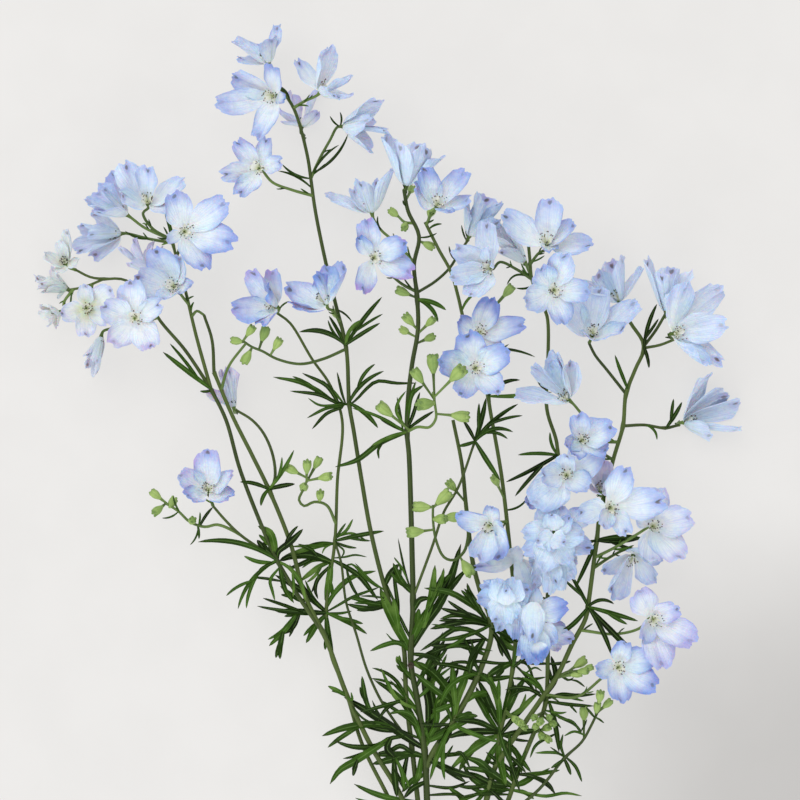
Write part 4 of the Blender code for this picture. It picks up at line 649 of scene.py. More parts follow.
def add_sheet(surface, front, back, **values):
    """A thin closed body between two grids of points."""
    rows, columns = front.shape[:2]
    stop = columns - 1
    ring = np.concatenate([front, back[:, ::-1]], axis=1)
    index, quads = ring_quads(rows, 2 * columns)
    near, far = index[0], index[-1]
    near_back, far_back = near[::-1], far[::-1]
    near_cap = np.stack([near[1:columns], near[:stop], near_back[:stop], near_back[1:columns]], axis=-1)
    far_cap = np.stack([far[:stop], far[1:columns], far_back[1:columns], far_back[:stop]], axis=-1)
    quads = np.concatenate([quads, near_cap, far_cap])
    flat = ring.reshape(-1, 3)
    corners = flat[quads] - flat.mean(axis=0)
    inside_out = np.einsum("ij,ij->i", corners[:, 0], np.cross(corners[:, 1], corners[:, 2])).sum() < 0.0
    if inside_out:
        quads = quads[:, ::-1]
    shared = {}
    for name, value in values.items():
        grid = np.broadcast_to(value, (rows, columns))
        shared[name] = np.concatenate([grid, grid[:, ::-1]], axis=1)
    shared["back"] = np.concatenate([np.zeros((rows, columns)), np.ones((rows, columns))], axis=1)
    surface.add(ring, quads, **shared)


def add_tube(surface, points, radii, sides, **values):
    """A closed round body through the points, with a radius in millimetres at each."""
    points = np.array([tuple(point) for point in points])
    _, side, up = frames_along(points)
    turn = np.arange(sides) * 2.0 * math.pi / sides
    radii = np.asarray(radii, float)
    if radii.ndim == 1:
        radii = np.repeat(radii[:, None], sides, axis=1)
    spread = side[:, None] * np.cos(turn)[None, :, None] + up[:, None] * np.sin(turn)[None, :, None]
    ring = points[:, None] + spread * radii[:, :, None] * MM
    index, quads = ring_quads(len(points), sides)
    along = np.linspace(0.0, 1.0, len(points))[:, None]
    around = np.abs(np.linspace(-1.0, 1.0, sides, endpoint=False))[None, :]
    shared = {
        "along": np.broadcast_to(along, (len(points), sides)),
        "around": np.broadcast_to(around, (len(points), sides)),
        **values,
    }
    surface.add(ring, quads, [index[0][::-1].tolist(), index[-1].tolist()], **shared)


def add_outline(surface, foot, way, outline, length, radius, sides, lobes=0.0, **values):
    """A round body on a straight axis, whose radius follows an outline of (along, full) shares.

    Toward its tip it bulges in five lobes by this share of its radius.
    """
    points = [foot + way * length * along * MM for along, _ in outline]
    turn = np.arange(sides) * 2.0 * math.pi / sides
    radii = np.array([[radius * full * (1.0 + lobes * along * math.cos(SEPALS * t)) for t in turn]
                      for along, full in outline])
    add_tube(surface, points, radii, sides, **values)


# The shapes of the stems
STEM_SPACING = 3.0
STEM_ROUND = 10
STALK_ROUND = 7
NODE_SWELL = 0.32  # how much thicker a stem is where another leaves it, in millimetres
NODE_SPREAD = 2.2
STEM_SLENDERNESS = 0.86  # how thick a stem is between its nodes, as a share of its thickness there
STALK_SPACING = 1.6
STALK_ROOT_FLARE = 0.2
FLARE_REACH = 1.9  # how far down its stalk the wider seat of a flower reaches


def stem_paths():
    """Each stem's smooth points by its name, each rooted on its parent."""
    paths = {}
    waiting = list(STEMS)
    while waiting:
        stem = waiting.pop(0)
        if stem.parent and stem.parent not in paths:
            waiting.append(stem)
            continue
        points = path_points(stem.path, stem.heights)
        if stem.parent:
            points = rooted(points, paths[stem.parent])
        paths[stem.name] = smooth(points, STEM_SPACING)
    return paths


def stem_nodes(paths):
    """The points of each stem where other stems, stalks and leaves leave it."""
    nodes = {stem.name: [] for stem in STEMS}
    for stem in STEMS:
        if stem.parent:
            nodes[stem.parent].append(paths[stem.name][-1])
    for leaf in LEAVES:
        nodes[leaf.stem].append(nearest_on(paths[leaf.stem], spot(leaf.node, MIDDLE_HEIGHT)))
    return nodes


def stem_surface(paths):
    """All stems, each thicker at its nodes."""
    surface = Surface("along", "around", "shade")
    nodes = stem_nodes(paths)
    for number, stem in enumerate(STEMS):
        points = paths[stem.name]
        radii = []
        for point, share in zip(points, shares_along(points)):
            swell = sum(math.exp(-((point - node).length / (NODE_SPREAD * MM)) ** 2)
                        for node in nodes[stem.name])
            radii.append(between(stem.radii, share) * STEM_SLENDERNESS + NODE_SWELL * min(swell, 1.0))
        add_tube(surface, points, radii, STEM_ROUND, shade=(number * 0.37) % 1.0)
    return surface


def bloom_axis(bloom):
    """The direction in which a flower looks."""
    heading, lean = math.radians(bloom.heading), math.radians(bloom.lean)
    return Vector((
        math.sin(lean) * math.cos(heading),
        math.sin(lean) * math.sin(heading),
        math.cos(lean),
    ))


def bloom_foot(bloom):
    """The point where a flower sits on its stalk."""
    return spot(bloom.middle, bloom.height) - bloom_axis(bloom) * bloom.depth * 0.5 * MM


def stalk_points(bloom, paths):
    """The flower's stalk, from its foot along its axis and down to its stem."""
    axis = bloom_axis(bloom)
    foot = bloom_foot(bloom)
    root = nearest_on(paths[bloom.stem], spot(bloom.route[-1], bloom.height * STALK_ROOT_SHARE))
    bend = foot - axis * STALK_BEND * MM
    points = [foot + axis * 0.3 * MM, bend]
    least_run = (root - bend).length * CLOSEST_WAYPOINT
    shares = shares_along([bend.xy] + [spot(pixel, 0.0).xy for pixel in bloom.route])
    for pixel, share in zip(bloom.route[:-1], shares[1:-1]):
        waypoint = spot(pixel, between((bend.z, root.z), share) / MM)
        if (waypoint - points[-1]).length > least_run:
            points.append(waypoint)
    points.append(root)
    return smooth(points, STALK_SPACING)


# Short side stalks, each from one stem to another, by the pixels that they run through.
LINKS = [((190, 317), (197, 311), (204, 315)), ((218, 391), (229, 366), (238, 355))]
LINK_RADII = (0.95, 0.8, 0.75)
LINK_SPACING = 1.5
LINK_ARCH = 0.5  # how far the middle of a link lies above the line between its ends


def link_points(pixels, carried_by):
    """The path of a side stalk, whose ends sit on what carries them."""
    start, end = seat(pixels[0], carried_by), seat(pixels[-1], carried_by)
    heights = [between((start.z / MM, end.z / MM), share) for share in shares_along(pixels)]
    inner = [spot(pixel, height + LINK_ARCH) for pixel, height in zip(pixels[1:-1], heights[1:-1])]
    return [start, *inner, end]


def stalk_surface(paths):
    """The links and the stalks of all flowers."""
    surface = Surface("along", "around", "shade")
    carried_by = carriers(paths)
    for pixels in LINKS:
        points = smooth(link_points(pixels, carried_by), LINK_SPACING)
        radii = [between(LINK_RADII, share) for share in shares_along(points)]
        add_tube(surface, points, radii, STALK_ROUND, shade=0.4)
    for bloom in BLOOMS:
        points = stalk_points(bloom, paths)
        radii = []
        for point, share in zip(points, shares_along(points)):
            near_flower = math.exp(-((point - points[0]).length / (FLARE_REACH * MM)) ** 2)
            flare = (STALK_FLARE - STALK_RADIUS) * near_flower
            radii.append(STALK_RADIUS + flare + STALK_ROOT_FLARE * share ** 4)
        add_tube(surface, points, radii, STALK_ROUND, shade=(bloom.number * 0.61) % 1.0)
    return surface


# The flowers
CUP_MARKS = ((0.42, 0.06), (0.68, 0.78), (1.0, 1.0))  # a sepal's bend, in shares of its reach
LEAST_REACH = 5.0  # how far from its flower's axis a sepal's tip lies at least
SEPAL_WIDTH_STEPS = (0.0, 0.12, 0.3, 0.55, 0.8, 1.0)
SEPAL_WIDTHS = (1.1, 2.5, 4.6, 7.4, 9.0, 8.4)  # half a sepal's width along its midline
SEPAL_LENGTH = 22.0  # the length that those widths belong to
SEPAL_SIZES = (0.55, 1.15)  # the smallest and the largest sepal, as shares of that length
WIDEST_TURN = 62.0  # how many degrees round the flower half a sepal reaches at most
SIDE_VIEW_LEAN = 50.0  # the sepals of a flower that leans further than this are wider
SIDE_VIEW_WIDTH = 1.18  # by this much
LAID_STEPS = (0.0, 0.12, 0.35, 0.65, 0.9, 1.0)
LAID_WIDTHS = (0.3, 0.56, 0.9, 1.0, 0.9, 0.74)  # how wide a laid sepal is at these steps along it
LAID_DOME = 1.5  # how far the middle of a laid sepal bulges, in millimetres
LAID_RELIEF = 1.1  # how strong its waves are against those of the other sepals
LAID_PALEST = 0.28  # a laid sepal shows none of the pale part near a sepal's foot
SEPAL_VALUES = ("along", "across", "back", "deep", "rosy", "spotted")  # for the look of sepals
GLAND_STRENGTHS = (0.2, 1.1)  # how dark the spot at a sepal's tip may be

# How wide the sepals of these flowers are against the usual width, by the flower's number
FULLNESS = {
    1: 0.85, 2: 0.82, 3: 0.78, 4: 0.9, 6: 0.74, 7: 0.94, 10: 0.9, 16: 0.9, 20: 0.92, 21: 0.88,
    23: 0.78, 24: 0.9, 26: 0.88, 28: 0.86, 35: 0.92, 38: 0.92, 40: 1.12, 41: 1.15, 42: 1.1,
    43: 0.92, 44: 1.12, 45: 1.35, 48: 1.2, 49: 1.15, 55: 0.9,
}

# How much deeper in colour these flowers are than others of their tint, and paler if below 0;
# partly painted light and shade: the paler values light up side-on flowers whose cups lie in shade.
DEPTH_AND_PAINTED_LIGHT = {
    2: 0.35, 3: -0.6, 4: -0.8, 7: -0.4, 9: -0.8, 10: 0.4, 11: -1.1, 13: 0.2, 15: -0.9, 16: -0.8,
    17: -1.0, 18: -1.0, 19: -1.0, 20: 0.2, 21: 0.35, 22: 0.6, 23: 0.6, 24: -0.9, 25: -1.0,
    26: 0.25, 27: -0.4, 28: -0.7, 29: -1.1, 32: -0.4, 33: -1.1, 34: -1.5, 35: -0.4, 36: -1.2,
    37: -0.6, 38: 0.75, 39: 0.4, 40: 0.6, 42: -1.1, 44: 0.15, 47: -0.5, 48: 0.3, 49: 0.25,
    50: -0.1, 51: 0.05, 52: 0.1, 54: 0.3, 55: 0.5,
}

# How much more rose these flowers show
ROSIER = {5: 0.1, 6: 0.2, 19: 0.2, 20: 0.45, 21: 0.45, 22: 0.3, 23: 0.7, 52: 0.5}

# A tint of the sepals: its colours from a sepal's foot to its tip, the colour toward which painted light
# turns its palest flowers, and the least and the most that a sepal of a usual flower is deepened and
# turned to rose.
Tint = namedtuple("Tint", "ramp pale depths roses")

TINTS = {
    "blue": Tint(((0.0, (240, 245, 230)), (0.12, (250, 252, 254)), (0.32, (241, 247, 253)),
                  (0.62, (223, 236, 250)), (1.0, (187, 212, 243))),
                 (222, 236, 255), (0.0, 0.8), (0.0, 0.1)),
    "pale": Tint(((0.0, (240, 245, 228)), (0.14, (250, 252, 254)), (0.4, (244, 248, 253)),
                  (0.78, (230, 239, 250)), (1.0, (208, 221, 241))),
                 (238, 243, 252), (0.0, 0.25), (0.0, 0.45)),
    "lilac": Tint(((0.0, (240, 242, 230)), (0.16, (250, 250, 253)), (0.5, (240, 242, 252)),
                   (0.78, (225, 228, 249)), (1.0, (202, 208, 242))),
                  (230, 232, 250), (0.0, 0.4), (0.05, 0.65)),
    "green": Tint(((0.0, (206, 218, 160)), (0.2, (226, 234, 204)), (0.5, (236, 240, 234)),
                   (0.8, (228, 234, 244)), (1.0, (204, 214, 240))),
                  (236, 241, 234), (0.0, 0.12), (0.0, 0.3)),
}


def bloom_frame(bloom):
    """The matrix that places a flower, whose foot is at its own origin and whose cup opens along Z."""
    axis = bloom_axis(bloom)
    turn = math.radians(bloom.sepal)
    toward = Vector((math.cos(turn), math.sin(turn), 0.0))
    side = toward - axis * toward.dot(axis)
    if side.length < LEAST_SIDE:
        side = Vector((0.0, 0.0, 1.0)) - axis * axis.z
    side.normalize()
    facing = Matrix((side, axis.cross(side), axis)).transposed().to_4x4()
    return Matrix.Translation(bloom_foot(bloom)) @ facing


def sepal_arms(bloom):
    """Each sepal's heading round the flower's axis, its tip's distance from it and its height along it."""
    inverse = bloom_frame(bloom).inverted()
    arms = []
    for x, y, rise in SEPAL_TIPS[bloom.number]:
        tip = inverse @ spot((x, y), bloom.height + rise) / MM
        turn = math.degrees(math.atan2(tip.y, tip.x))
        arms.append((turn, max(math.hypot(tip.x, tip.y), LEAST_REACH), tip.z))
    return sorted(arms)


def placed(matrix, points):
    """Points in millimetres in a flower's own frame, as metres in the spray's frame."""
    matrix = np.array(matrix)
    return above_floor((points * MM) @ matrix[:3, :3].T + matrix[:3, 3])


def cup_curve(radius, depth, share):
    """Radius and height of a sepal's midline at these shares of its length, and the inward normal."""
    marks = [(FLOWER_FOOT_RADIUS, 0.0)] + [(out * radius, up * depth) for out, up in CUP_MARKS]
    left = 1.0 - share
    weights = (left ** 3, 3 * left ** 2 * share, 3 * left * share ** 2, share ** 3)
    slopes = (-3 * left ** 2, 3 * left ** 2 - 6 * left * share, 6 * left * share - 3 * share ** 2,
              3 * share ** 2)
    out, up = (sum(w * mark[axis] for w, mark in zip(weights, marks)) for axis in (0, 1))
    run, rise = (sum(s * mark[axis] for s, mark in zip(slopes, marks)) for axis in (0, 1))
    size = np.hypot(run, rise)
    return out, up, -rise / size, run / size


def sepal_outline(draw):
    """A sepal's shares along and across, and how far each point lies along it with its rounded tip."""
    step = np.linspace(-1.0, 1.0, SEPAL_COLUMNS)
    across = (0.6 * step + 0.4 * step ** 3)[None, :]
    along = (1.0 - (1.0 - np.linspace(0.0, 1.0, SEPAL_ROWS)) ** 1.3)[:, None]
    wave = draw.uniform(0.0, 6.3)
    outline = 1.0 - draw.uniform(0.27, 0.39) * np.abs(across) ** draw.uniform(2.7, 4.0)
    outline = outline - draw.uniform(0.0, 0.06) * np.exp(-(across / 0.14) ** 2)
    outline = outline + draw.uniform(-0.08, 0.08) * across
    outline = outline + 0.028 * np.sin(across * 9.0 + wave) + 0.014 * np.sin(across * 21.0 + 2.0 * wave)
    return along, across, along * outline


def sepal_relief(along, across, draw):
    """How far a sepal's waves, frills, curled edges and tip lie in front of its plain curve."""
    lap = -(0.25 + 1.1 * along) * across
    cupping = draw.uniform(-0.6, 2.6) * (across ** 2 - 0.3) * along
    ripple = draw.uniform(0.5, 1.3) * np.sin(across * draw.uniform(3.5, 7.5) + draw.uniform(0.0, 6.3))
    frill = draw.uniform(0.35, 0.75) * np.sin(across * draw.uniform(11.0, 16.0) + draw.uniform(0.0, 6.3))
    ripple = ripple * along ** 3 + frill * np.abs(across) ** 0.7 * along ** 5
    end = np.clip((along - 0.7) / 0.3, 0.0, 1.0)
    hook = draw.uniform(0.3, 1.8) if draw.random() < 0.6 else draw.uniform(2.2, 4.2)
    curl = hook * np.exp(-(across / 0.6) ** 2) * end ** 2.0
    edge = draw.uniform(-1.4, 1.8) * np.abs(across) ** 3 * along
    keel = -0.22 * np.exp(-(across / 0.1) ** 2) * along
    twist = draw.uniform(-1.6, 1.6) * across * end
    return SEPAL_SEAT * (1.0 - along) + lap + cupping + ripple + curl + edge + keel + twist


def half_thickness(across):
    """Half a sepal's thickness, which is greatest at its rib."""
    return SEPAL_THICKNESS * 0.5 * (0.75 + 0.5 * np.exp(-(across / 0.12) ** 2))


def sepal_points(bloom, arm, draw):
    """The front and the back grid of one sepal, and its shares along and across."""
    turn, radius, depth = arm
    along, across, share = sepal_outline(draw)
    out, up, inward, upward = cup_curve(radius, depth, share)
    size = min(max(math.hypot(radius, depth) / SEPAL_LENGTH, SEPAL_SIZES[0]), SEPAL_SIZES[1])
    full = size * draw.uniform(0.9, 1.12) * FULLNESS.get(bloom.number, 1.0)
    if bloom.lean > SIDE_VIEW_LEAN:
        full *= SIDE_VIEW_WIDTH
    width = np.interp(along, SEPAL_WIDTH_STEPS, SEPAL_WIDTHS) * full
    side = np.minimum(np.degrees(width / np.maximum(out, 0.5)), WIDEST_TURN) * across
    wander = draw.uniform(-6.0, 6.0) * along ** 2
    forward = sepal_relief(along, across, draw) * min(size, 1.0)

    place = bloom_frame(bloom)
    heading = np.radians(turn + side + wander)
    grids = []
    for offset in (forward + half_thickness(across), forward - half_thickness(across)):
        reach = out + inward * offset
        lift = up + upward * offset
        grid = np.stack([reach * np.cos(heading), reach * np.sin(heading), lift], axis=-1)
        grids.append(placed(place, grid))
    return grids[0], grids[1], along, across


def laid_points(bloom, laid, draw):
    """The front and the back grid of a sepal that is laid out from its base to its tip, and its shares."""
    base = np.array(spot(laid.base, bloom.height + laid.rise))
    run = np.array(spot(laid.tip, bloom.height + laid.rise + laid.slope)) - base
    length = np.linalg.norm(run)
    side = np.array([-run[1], run[0], 0.0])
    side /= np.linalg.norm(side)
    upward = np.cross(run / length, side)
    along, across, share = sepal_outline(draw)
    half = np.interp(along, LAID_STEPS, LAID_WIDTHS) * laid.width * 0.5 * PIXEL_SIZE
    dome = LAID_DOME * (np.sin(share * 2.4) - 0.55 * across ** 2)
    dome = dome * min(length / (SEPAL_LENGTH * MM), 1.0)
    forward = (dome + LAID_RELIEF * sepal_relief(along, across, draw)) * MM
    level = base + run * share[..., None] + side * (half * across)[..., None]
    thick = half_thickness(across) * MM
    front, back = (above_floor(level + upward * offset[..., None])
                   for offset in (forward + thick, forward - thick))
    return front, back, along, across


def laid_sepals(bloom):
    """The sepals of a flower whose sepals are laid out one by one."""
    surface = Surface(*SEPAL_VALUES)
    draw = random.Random(bloom.number)
    # partly painted light and shade: the flower's value from the depth table, paler below 0, is added to
    # each sepal's depth
    deeper = DEPTH_AND_PAINTED_LIGHT.get(bloom.number, 0.0)
    for row in LAID_SEPALS[bloom.number]:
        laid = Laid(*row)
        front, back, along, across = laid_points(bloom, laid, draw)
        rosy = draw.uniform(*TINTS[bloom.tint].roses)
        add_sheet(surface, front, back, along=LAID_PALEST + (1.0 - LAID_PALEST) * along, across=across,
                  deep=laid.deep + deeper, rosy=rosy, spotted=laid.gland)
    return surface


def sepals(bloom):
    """The sepals of a flower, each toward its own tip in the photograph."""
    if bloom.number in LAID_SEPALS:
        return laid_sepals(bloom)
    surface = Surface(*SEPAL_VALUES)
    draw = random.Random(bloom.number)
    tint = TINTS[bloom.tint]
    for arm in sepal_arms(bloom):
        front, back, along, across = sepal_points(bloom, arm, draw)
        # partly painted light and shade: the flower's value from the depth table, paler below 0, is added to
        # the random depth
        deep = draw.uniform(*tint.depths) + DEPTH_AND_PAINTED_LIGHT.get(bloom.number, 0.0)
        rosy = draw.uniform(*tint.roses) + ROSIER.get(bloom.number, 0.0)
        spotted = draw.uniform(*GLAND_STRENGTHS)
        add_sheet(surface, front, back, along=along, across=across, deep=deep, rosy=rosy, spotted=spotted)
    return surface


# The small petals and the stamens in a flower's throat
USUAL_RADIUS = 18.0  # the radius of a flower whose throat has the sizes below
PETAL_SPOTS = ((60.0, 5.6), (120.0, 5.6), (235.0, 4.4), (305.0, 4.4))  # heading and length
PETAL_WIDTH = 0.34  # half a petal's width, as a share of its length
PETAL_STEPS = (0.0, 0.3, 0.75, 1.0)
PETAL_WIDTHS = (0.35, 0.6, 1.0, 0.45)
PETAL_THICKNESS = 0.24
STAMENS = (15, 21)  # the fewest and the most of a flower
THREAD_RADII = (0.13, 0.12, 0.11, 0.1, 0.1)
ANTHER_LENGTH = 0.85
ANTHER_RADIUS = 0.36
ANTHER_OUTLINE = ((0.0, 0.3), (0.25, 0.9), (0.6, 1.0), (1.0, 0.35))


def throat_petals(surface, bloom, place):
    """The four small petals that stand up in a flower's throat."""
    draw = random.Random(bloom.number + 100)
    floor = 0.06 * bloom.depth
    along = np.linspace(0.0, 1.0, 7)[:, None]
    across = np.linspace(-1.0, 1.0, 5)[None, :]
    thick = np.array([0.0, 0.0, PETAL_THICKNESS * 0.5])
    for heading, length in PETAL_SPOTS:
        turn = math.radians(heading + draw.uniform(-12.0, 12.0))
        size = length * min(bloom.radius / USUAL_RADIUS, 1.0) * draw.uniform(0.85, 1.1)
        width = size * PETAL_WIDTH * np.interp(along, PETAL_STEPS, PETAL_WIDTHS)
        reach = 0.7 + size * 0.62 * along ** 1.3 - 0.5 * across ** 2 * along
        lift = floor + size * 0.72 * along + 0.35 * across ** 2
        side = width * across
        grid = np.stack([reach * math.cos(turn) - side * math.sin(turn),
                         reach * math.sin(turn) + side * math.cos(turn), lift], axis=-1)
        upper, lower = placed(place, grid + thick), placed(place, grid - thick)
        add_sheet(surface, upper, lower, along=along, across=across)


def stamens(threads, anthers, bloom, place):
    """The crowd of thin threads in a flower's throat, each with an anther on its tip."""
    draw = random.Random(bloom.number + 200)
    floor = 0.03 * bloom.depth
    spread = 0.2 * bloom.radius
    upward = np.array([0.0, 0.0, 1.0])
    steps = np.linspace(0.0, 1.0, len(THREAD_RADII))[:, None]
    for _ in range(draw.randint(*STAMENS)):
        turn = draw.uniform(0.0, 2.0 * math.pi)
        reach = spread * math.sqrt(draw.uniform(0.02, 1.0))
        tall = draw.uniform(3.8, 7.2) * min(bloom.radius / USUAL_RADIUS, 1.0)
        way = np.array([math.cos(turn), math.sin(turn), 0.0])
        sideways = np.array([-way[1], way[0], 0.0])
        lean = draw.uniform(-0.5, 0.5)
        points = way * (0.5 + reach * steps ** 1.6) + upward * (floor + tall * steps)
        points = placed(place, points + sideways * lean * steps ** 2)
        add_tube(threads, [Vector(point) for point in points], THREAD_RADII, 4)
        tip, run = Vector(points[-1]), Vector(points[-1] - points[-2]).normalized()
        tilt = Vector((draw.uniform(-1, 1), draw.uniform(-1, 1), draw.uniform(-1, 1)))
        axis = (run + tilt * 0.8).normalized()
        add_outline(anthers, tip - axis * 0.35 * MM, axis, ANTHER_OUTLINE, ANTHER_LENGTH, ANTHER_RADIUS, 6,
                    shade=draw.random())


# The buds
BUD_OUTLINE = ((0.0, 0.34), (0.1, 0.46), (0.25, 0.68), (0.42, 0.9), (0.6, 1.0), (0.76, 0.97),
               (0.88, 0.8), (0.96, 0.5), (1.0, 0.2))
BUD_ROUND = 15
BUD_LOBES = 0.1  # how far the sepals of a bud stand out toward its tip, as a share of its radius
BUMP_OUTLINE = ((0.0, 0.7), (0.4, 1.0), (0.8, 0.75), (1.0, 0.2))
BUMP_FOOT = 0.74  # where along its bud the knob of each sepal starts
BUMP_LENGTHS = (0.26, 0.34)  # shares of the bud's length
BUMP_RADIUS = 0.4  # a share of the bud's radius
BUD_STALK_RADIUS = 0.68
BUD_STALK_FLARE = 0.3
BUD_STALK_SAG = 0.06  # a share of the stalk's length
TWIG_RADIUS = 0.72
TWIG_FLARE = 0.22
TWIG_SPACING = 2.0


def add_bud(buds, stalks, middle, root, usual, draw):
    """A small closed flower bud, fullest near its blunt, knobbly tip, on its own stalk."""
    way = (middle - root).normalized()
    size = usual * draw.uniform(0.88, 1.12)
    length, radius = BUD_LENGTH * size, BUD_RADIUS * size
    foot = middle - way * length * 0.5 * MM
    shade = draw.random()
    add_outline(buds, foot, way, BUD_OUTLINE, length, radius, BUD_ROUND, lobes=BUD_LOBES, shade=shade)
    _, side, up = (Vector(vector[0]) for vector in frames_along([tuple(foot), tuple(foot + way)]))
    for bump in range(SEPALS):
        turn = 2.0 * math.pi * bump / SEPALS
        outward = side * math.cos(turn) + up * math.sin(turn)
        start = foot + way * length * BUMP_FOOT * MM + outward * radius * 0.5 * MM
        add_outline(buds, start, (way + outward * 0.35).normalized(), BUMP_OUTLINE,
                    length * draw.uniform(*BUMP_LENGTHS), radius * BUMP_RADIUS, 8, shade=shade, bump=1.0)
    run = foot - root
    sag = Vector((0.0, 0.0, -BUD_STALK_SAG * run.length))
    points = smooth([root, root + run * 0.5 + sag, foot + way * 0.4 * MM], 1.2)
    radii = [BUD_STALK_RADIUS + BUD_STALK_FLARE * share ** 3 for share in shares_along(points)]
    add_tube(stalks, points, radii, 6, shade=shade)


def twig_points(twig, paths):
    """The path of a twig that carries buds, from its top to its stem."""
    return smooth(rooted(path_points(twig.path, twig.heights), paths[twig.parent]), TWIG_SPACING)


def bud_surfaces(paths):
    """All buds, and their twigs and stalks."""
    buds = Surface("along", "around", "shade", "bump")
    stalks = Surface("along", "around", "shade")
    draw = random.Random(31)
    for twig in BUD_TWIGS:
        points = twig_points(twig, paths)
        radii = [TWIG_RADIUS + TWIG_FLARE * share for share in shares_along(points)]
        add_tube(stalks, points, radii, STALK_ROUND, shade=draw.random())
        for number, place in enumerate(twig.buds):
            near = nearest_on(points, spot(place, twig.heights[0]))
            lift = BUD_RISES[number % len(BUD_RISES)] + BUD_LIFTS.get(place, 0.0)
            middle = spot(place, near.z / MM + lift)
            lower = nearest_on(points, near + (near - middle) * BUD_SLANT)
            add_bud(buds, stalks, middle, lower, BUD_SIZES[twig.name], draw)
    for kind, lone_buds in (("lone", LONE_BUDS), ("crowded", CROWDED_BUDS)):
        for lone in lone_buds:
            root = nearest_on(paths[lone.stem], spot(lone.foot, lone.height))
            add_bud(buds, stalks, spot(lone.place, lone.height), root, BUD_SIZES[kind], draw)
    return buds, stalks


# The leaves
BLADE_ROWS = 13
BLADE_STEPS = (0.0, 0.12, 0.4, 0.7, 0.92, 1.0)
BLADE_WIDTHS = (0.42, 0.7, 1.0, 0.94, 0.5, 0.05)
BLADE_ACROSS = (-1.0, -0.55, 0.0, 0.55, 1.0)
LOBE_SPACING = 1.5  # millimetres between the points of a lobe's curve
LOBE_ARCH = 1.5  # how far a lobe arches up on its way, in millimetres
FORKED_WIDTH = 2.3  # the full width in millimetres from which a lobe may fork
FORK_CHANCE = 0.85
LOBE_FULLNESS = 1.08  # how wide the lobes of the fronds are against the widths in their table
BRANCHED_LENGTH = 17.0  # lobes longer than this may branch
TWICE_BRANCHED_LENGTH = 34.0  # and lobes longer than this may branch twice


def bowed(root, tip, sway, arch):
    """The middle line of a blade that bows to its left and upward on its way from its root to its tip."""
    run = np.array(tip - root)
    length = np.linalg.norm(run)
    level = np.array([-run[1], run[0], 0.0])
    level /= max(np.linalg.norm(level), 1e-9)
    along = np.linspace(0.0, 1.0, BLADE_ROWS)[:, None]
    bow = 4.0 * along * (1.0 - along)
    return np.array(root) + run * along + (level * sway + np.array([0.0, 0.0, arch])) * length * bow


def add_blade(surface, middle, width, roll, shade):
    """A narrow pointed lobe along its middle line, folded a little along its rib."""
    run = np.gradient(middle, axis=0)
    run /= np.linalg.norm(run, axis=1)[:, None]
    level = np.column_stack([-run[:, 1], run[:, 0], np.zeros(BLADE_ROWS)])
    level /= np.maximum(np.linalg.norm(level, axis=1), 1e-9)[:, None]
    upward = np.cross(run, level)
    along = np.linspace(0.0, 1.0, BLADE_ROWS)[:, None]
    across = np.array(BLADE_ACROSS)[None, :]
    half = width * 0.5 * MM * np.interp(along, BLADE_STEPS, BLADE_WIDTHS)
    lean = roll * np.sin(along * 2.4)
    side = (level * np.cos(lean) + upward * np.sin(lean))[:, None, :]
    lift = (upward * np.cos(lean) - level * np.sin(lean))[:, None, :]
    fold = 0.45 * np.abs(across) * half
    grid = middle[:, None, :] + side * (across * half)[..., None] + lift * fold[..., None]
    thick = LEAF_THICKNESS * 0.5 * MM * (1.25 - 0.6 * np.abs(across))
    raised = lift * (thick * np.interp(along, (0.0, 0.85, 1.0), (1.0, 1.0, 0.4)))[..., None]
    front, back = above_floor(grid + raised), above_floor(grid - raised)
    add_sheet(surface, front, back, along=along, across=across, shade=shade)


def add_lobe(surface, root, tip, draw):
    """A lobe of a leaf with the smaller ones that branch from its sides."""
    run = tip - root
    length = run.length / MM
    width = between(LEAF_WIDTHS, min(run.length / (LEAF_REACH * MM), 1.0)) * draw.uniform(0.85, 1.1)
    droop = math.copysign(min(abs(run.x) / run.length * 1.4, 1.0), run.x)
    sway = draw.uniform(-0.05, 0.17) * droop + draw.uniform(-0.05, 0.05)
    arch = draw.uniform(0.02, 0.12)
    shade = draw.random()
    middle = bowed(root, tip, sway, arch)
    add_blade(surface, middle, width, draw.uniform(-0.75, 0.75), shade)
    branches = 0
    if length > TWICE_BRANCHED_LENGTH:
        branches = draw.choice((0, 1, 1, 2))
    elif length > BRANCHED_LENGTH:
        branches = draw.choice((0, 0, 1, 1))
    hand = draw.choice((-1.0, 1.0))
    for branch in range(branches):
        share = draw.uniform(0.24, 0.4) + 0.16 * branch
        start = Vector(middle[int(share * (BLADE_ROWS - 1))])
        turn = hand * math.radians(draw.uniform(11.0, 26.0))
        hand = -hand
        end = start + turned(run, turn) * ((1.0 - share) * draw.uniform(0.7, 1.1))
        end.z = max(end.z + draw.uniform(-2.0, 3.0) * MM, LOWEST_TIP * MM)
        side = bowed(start, end, sway * draw.uniform(0.3, 1.2), 0.05)
        add_blade(surface, side, width * draw.uniform(0.65, 0.9), draw.uniform(-0.8, 0.8), shade)


# The lobes that were laid out one by one. Each has its full width in millimetres and the pixels
# that it runs through, from the stem or an earlier lobe of its frond to its tip.
Frond = namedtuple("Frond", "stem lobes")

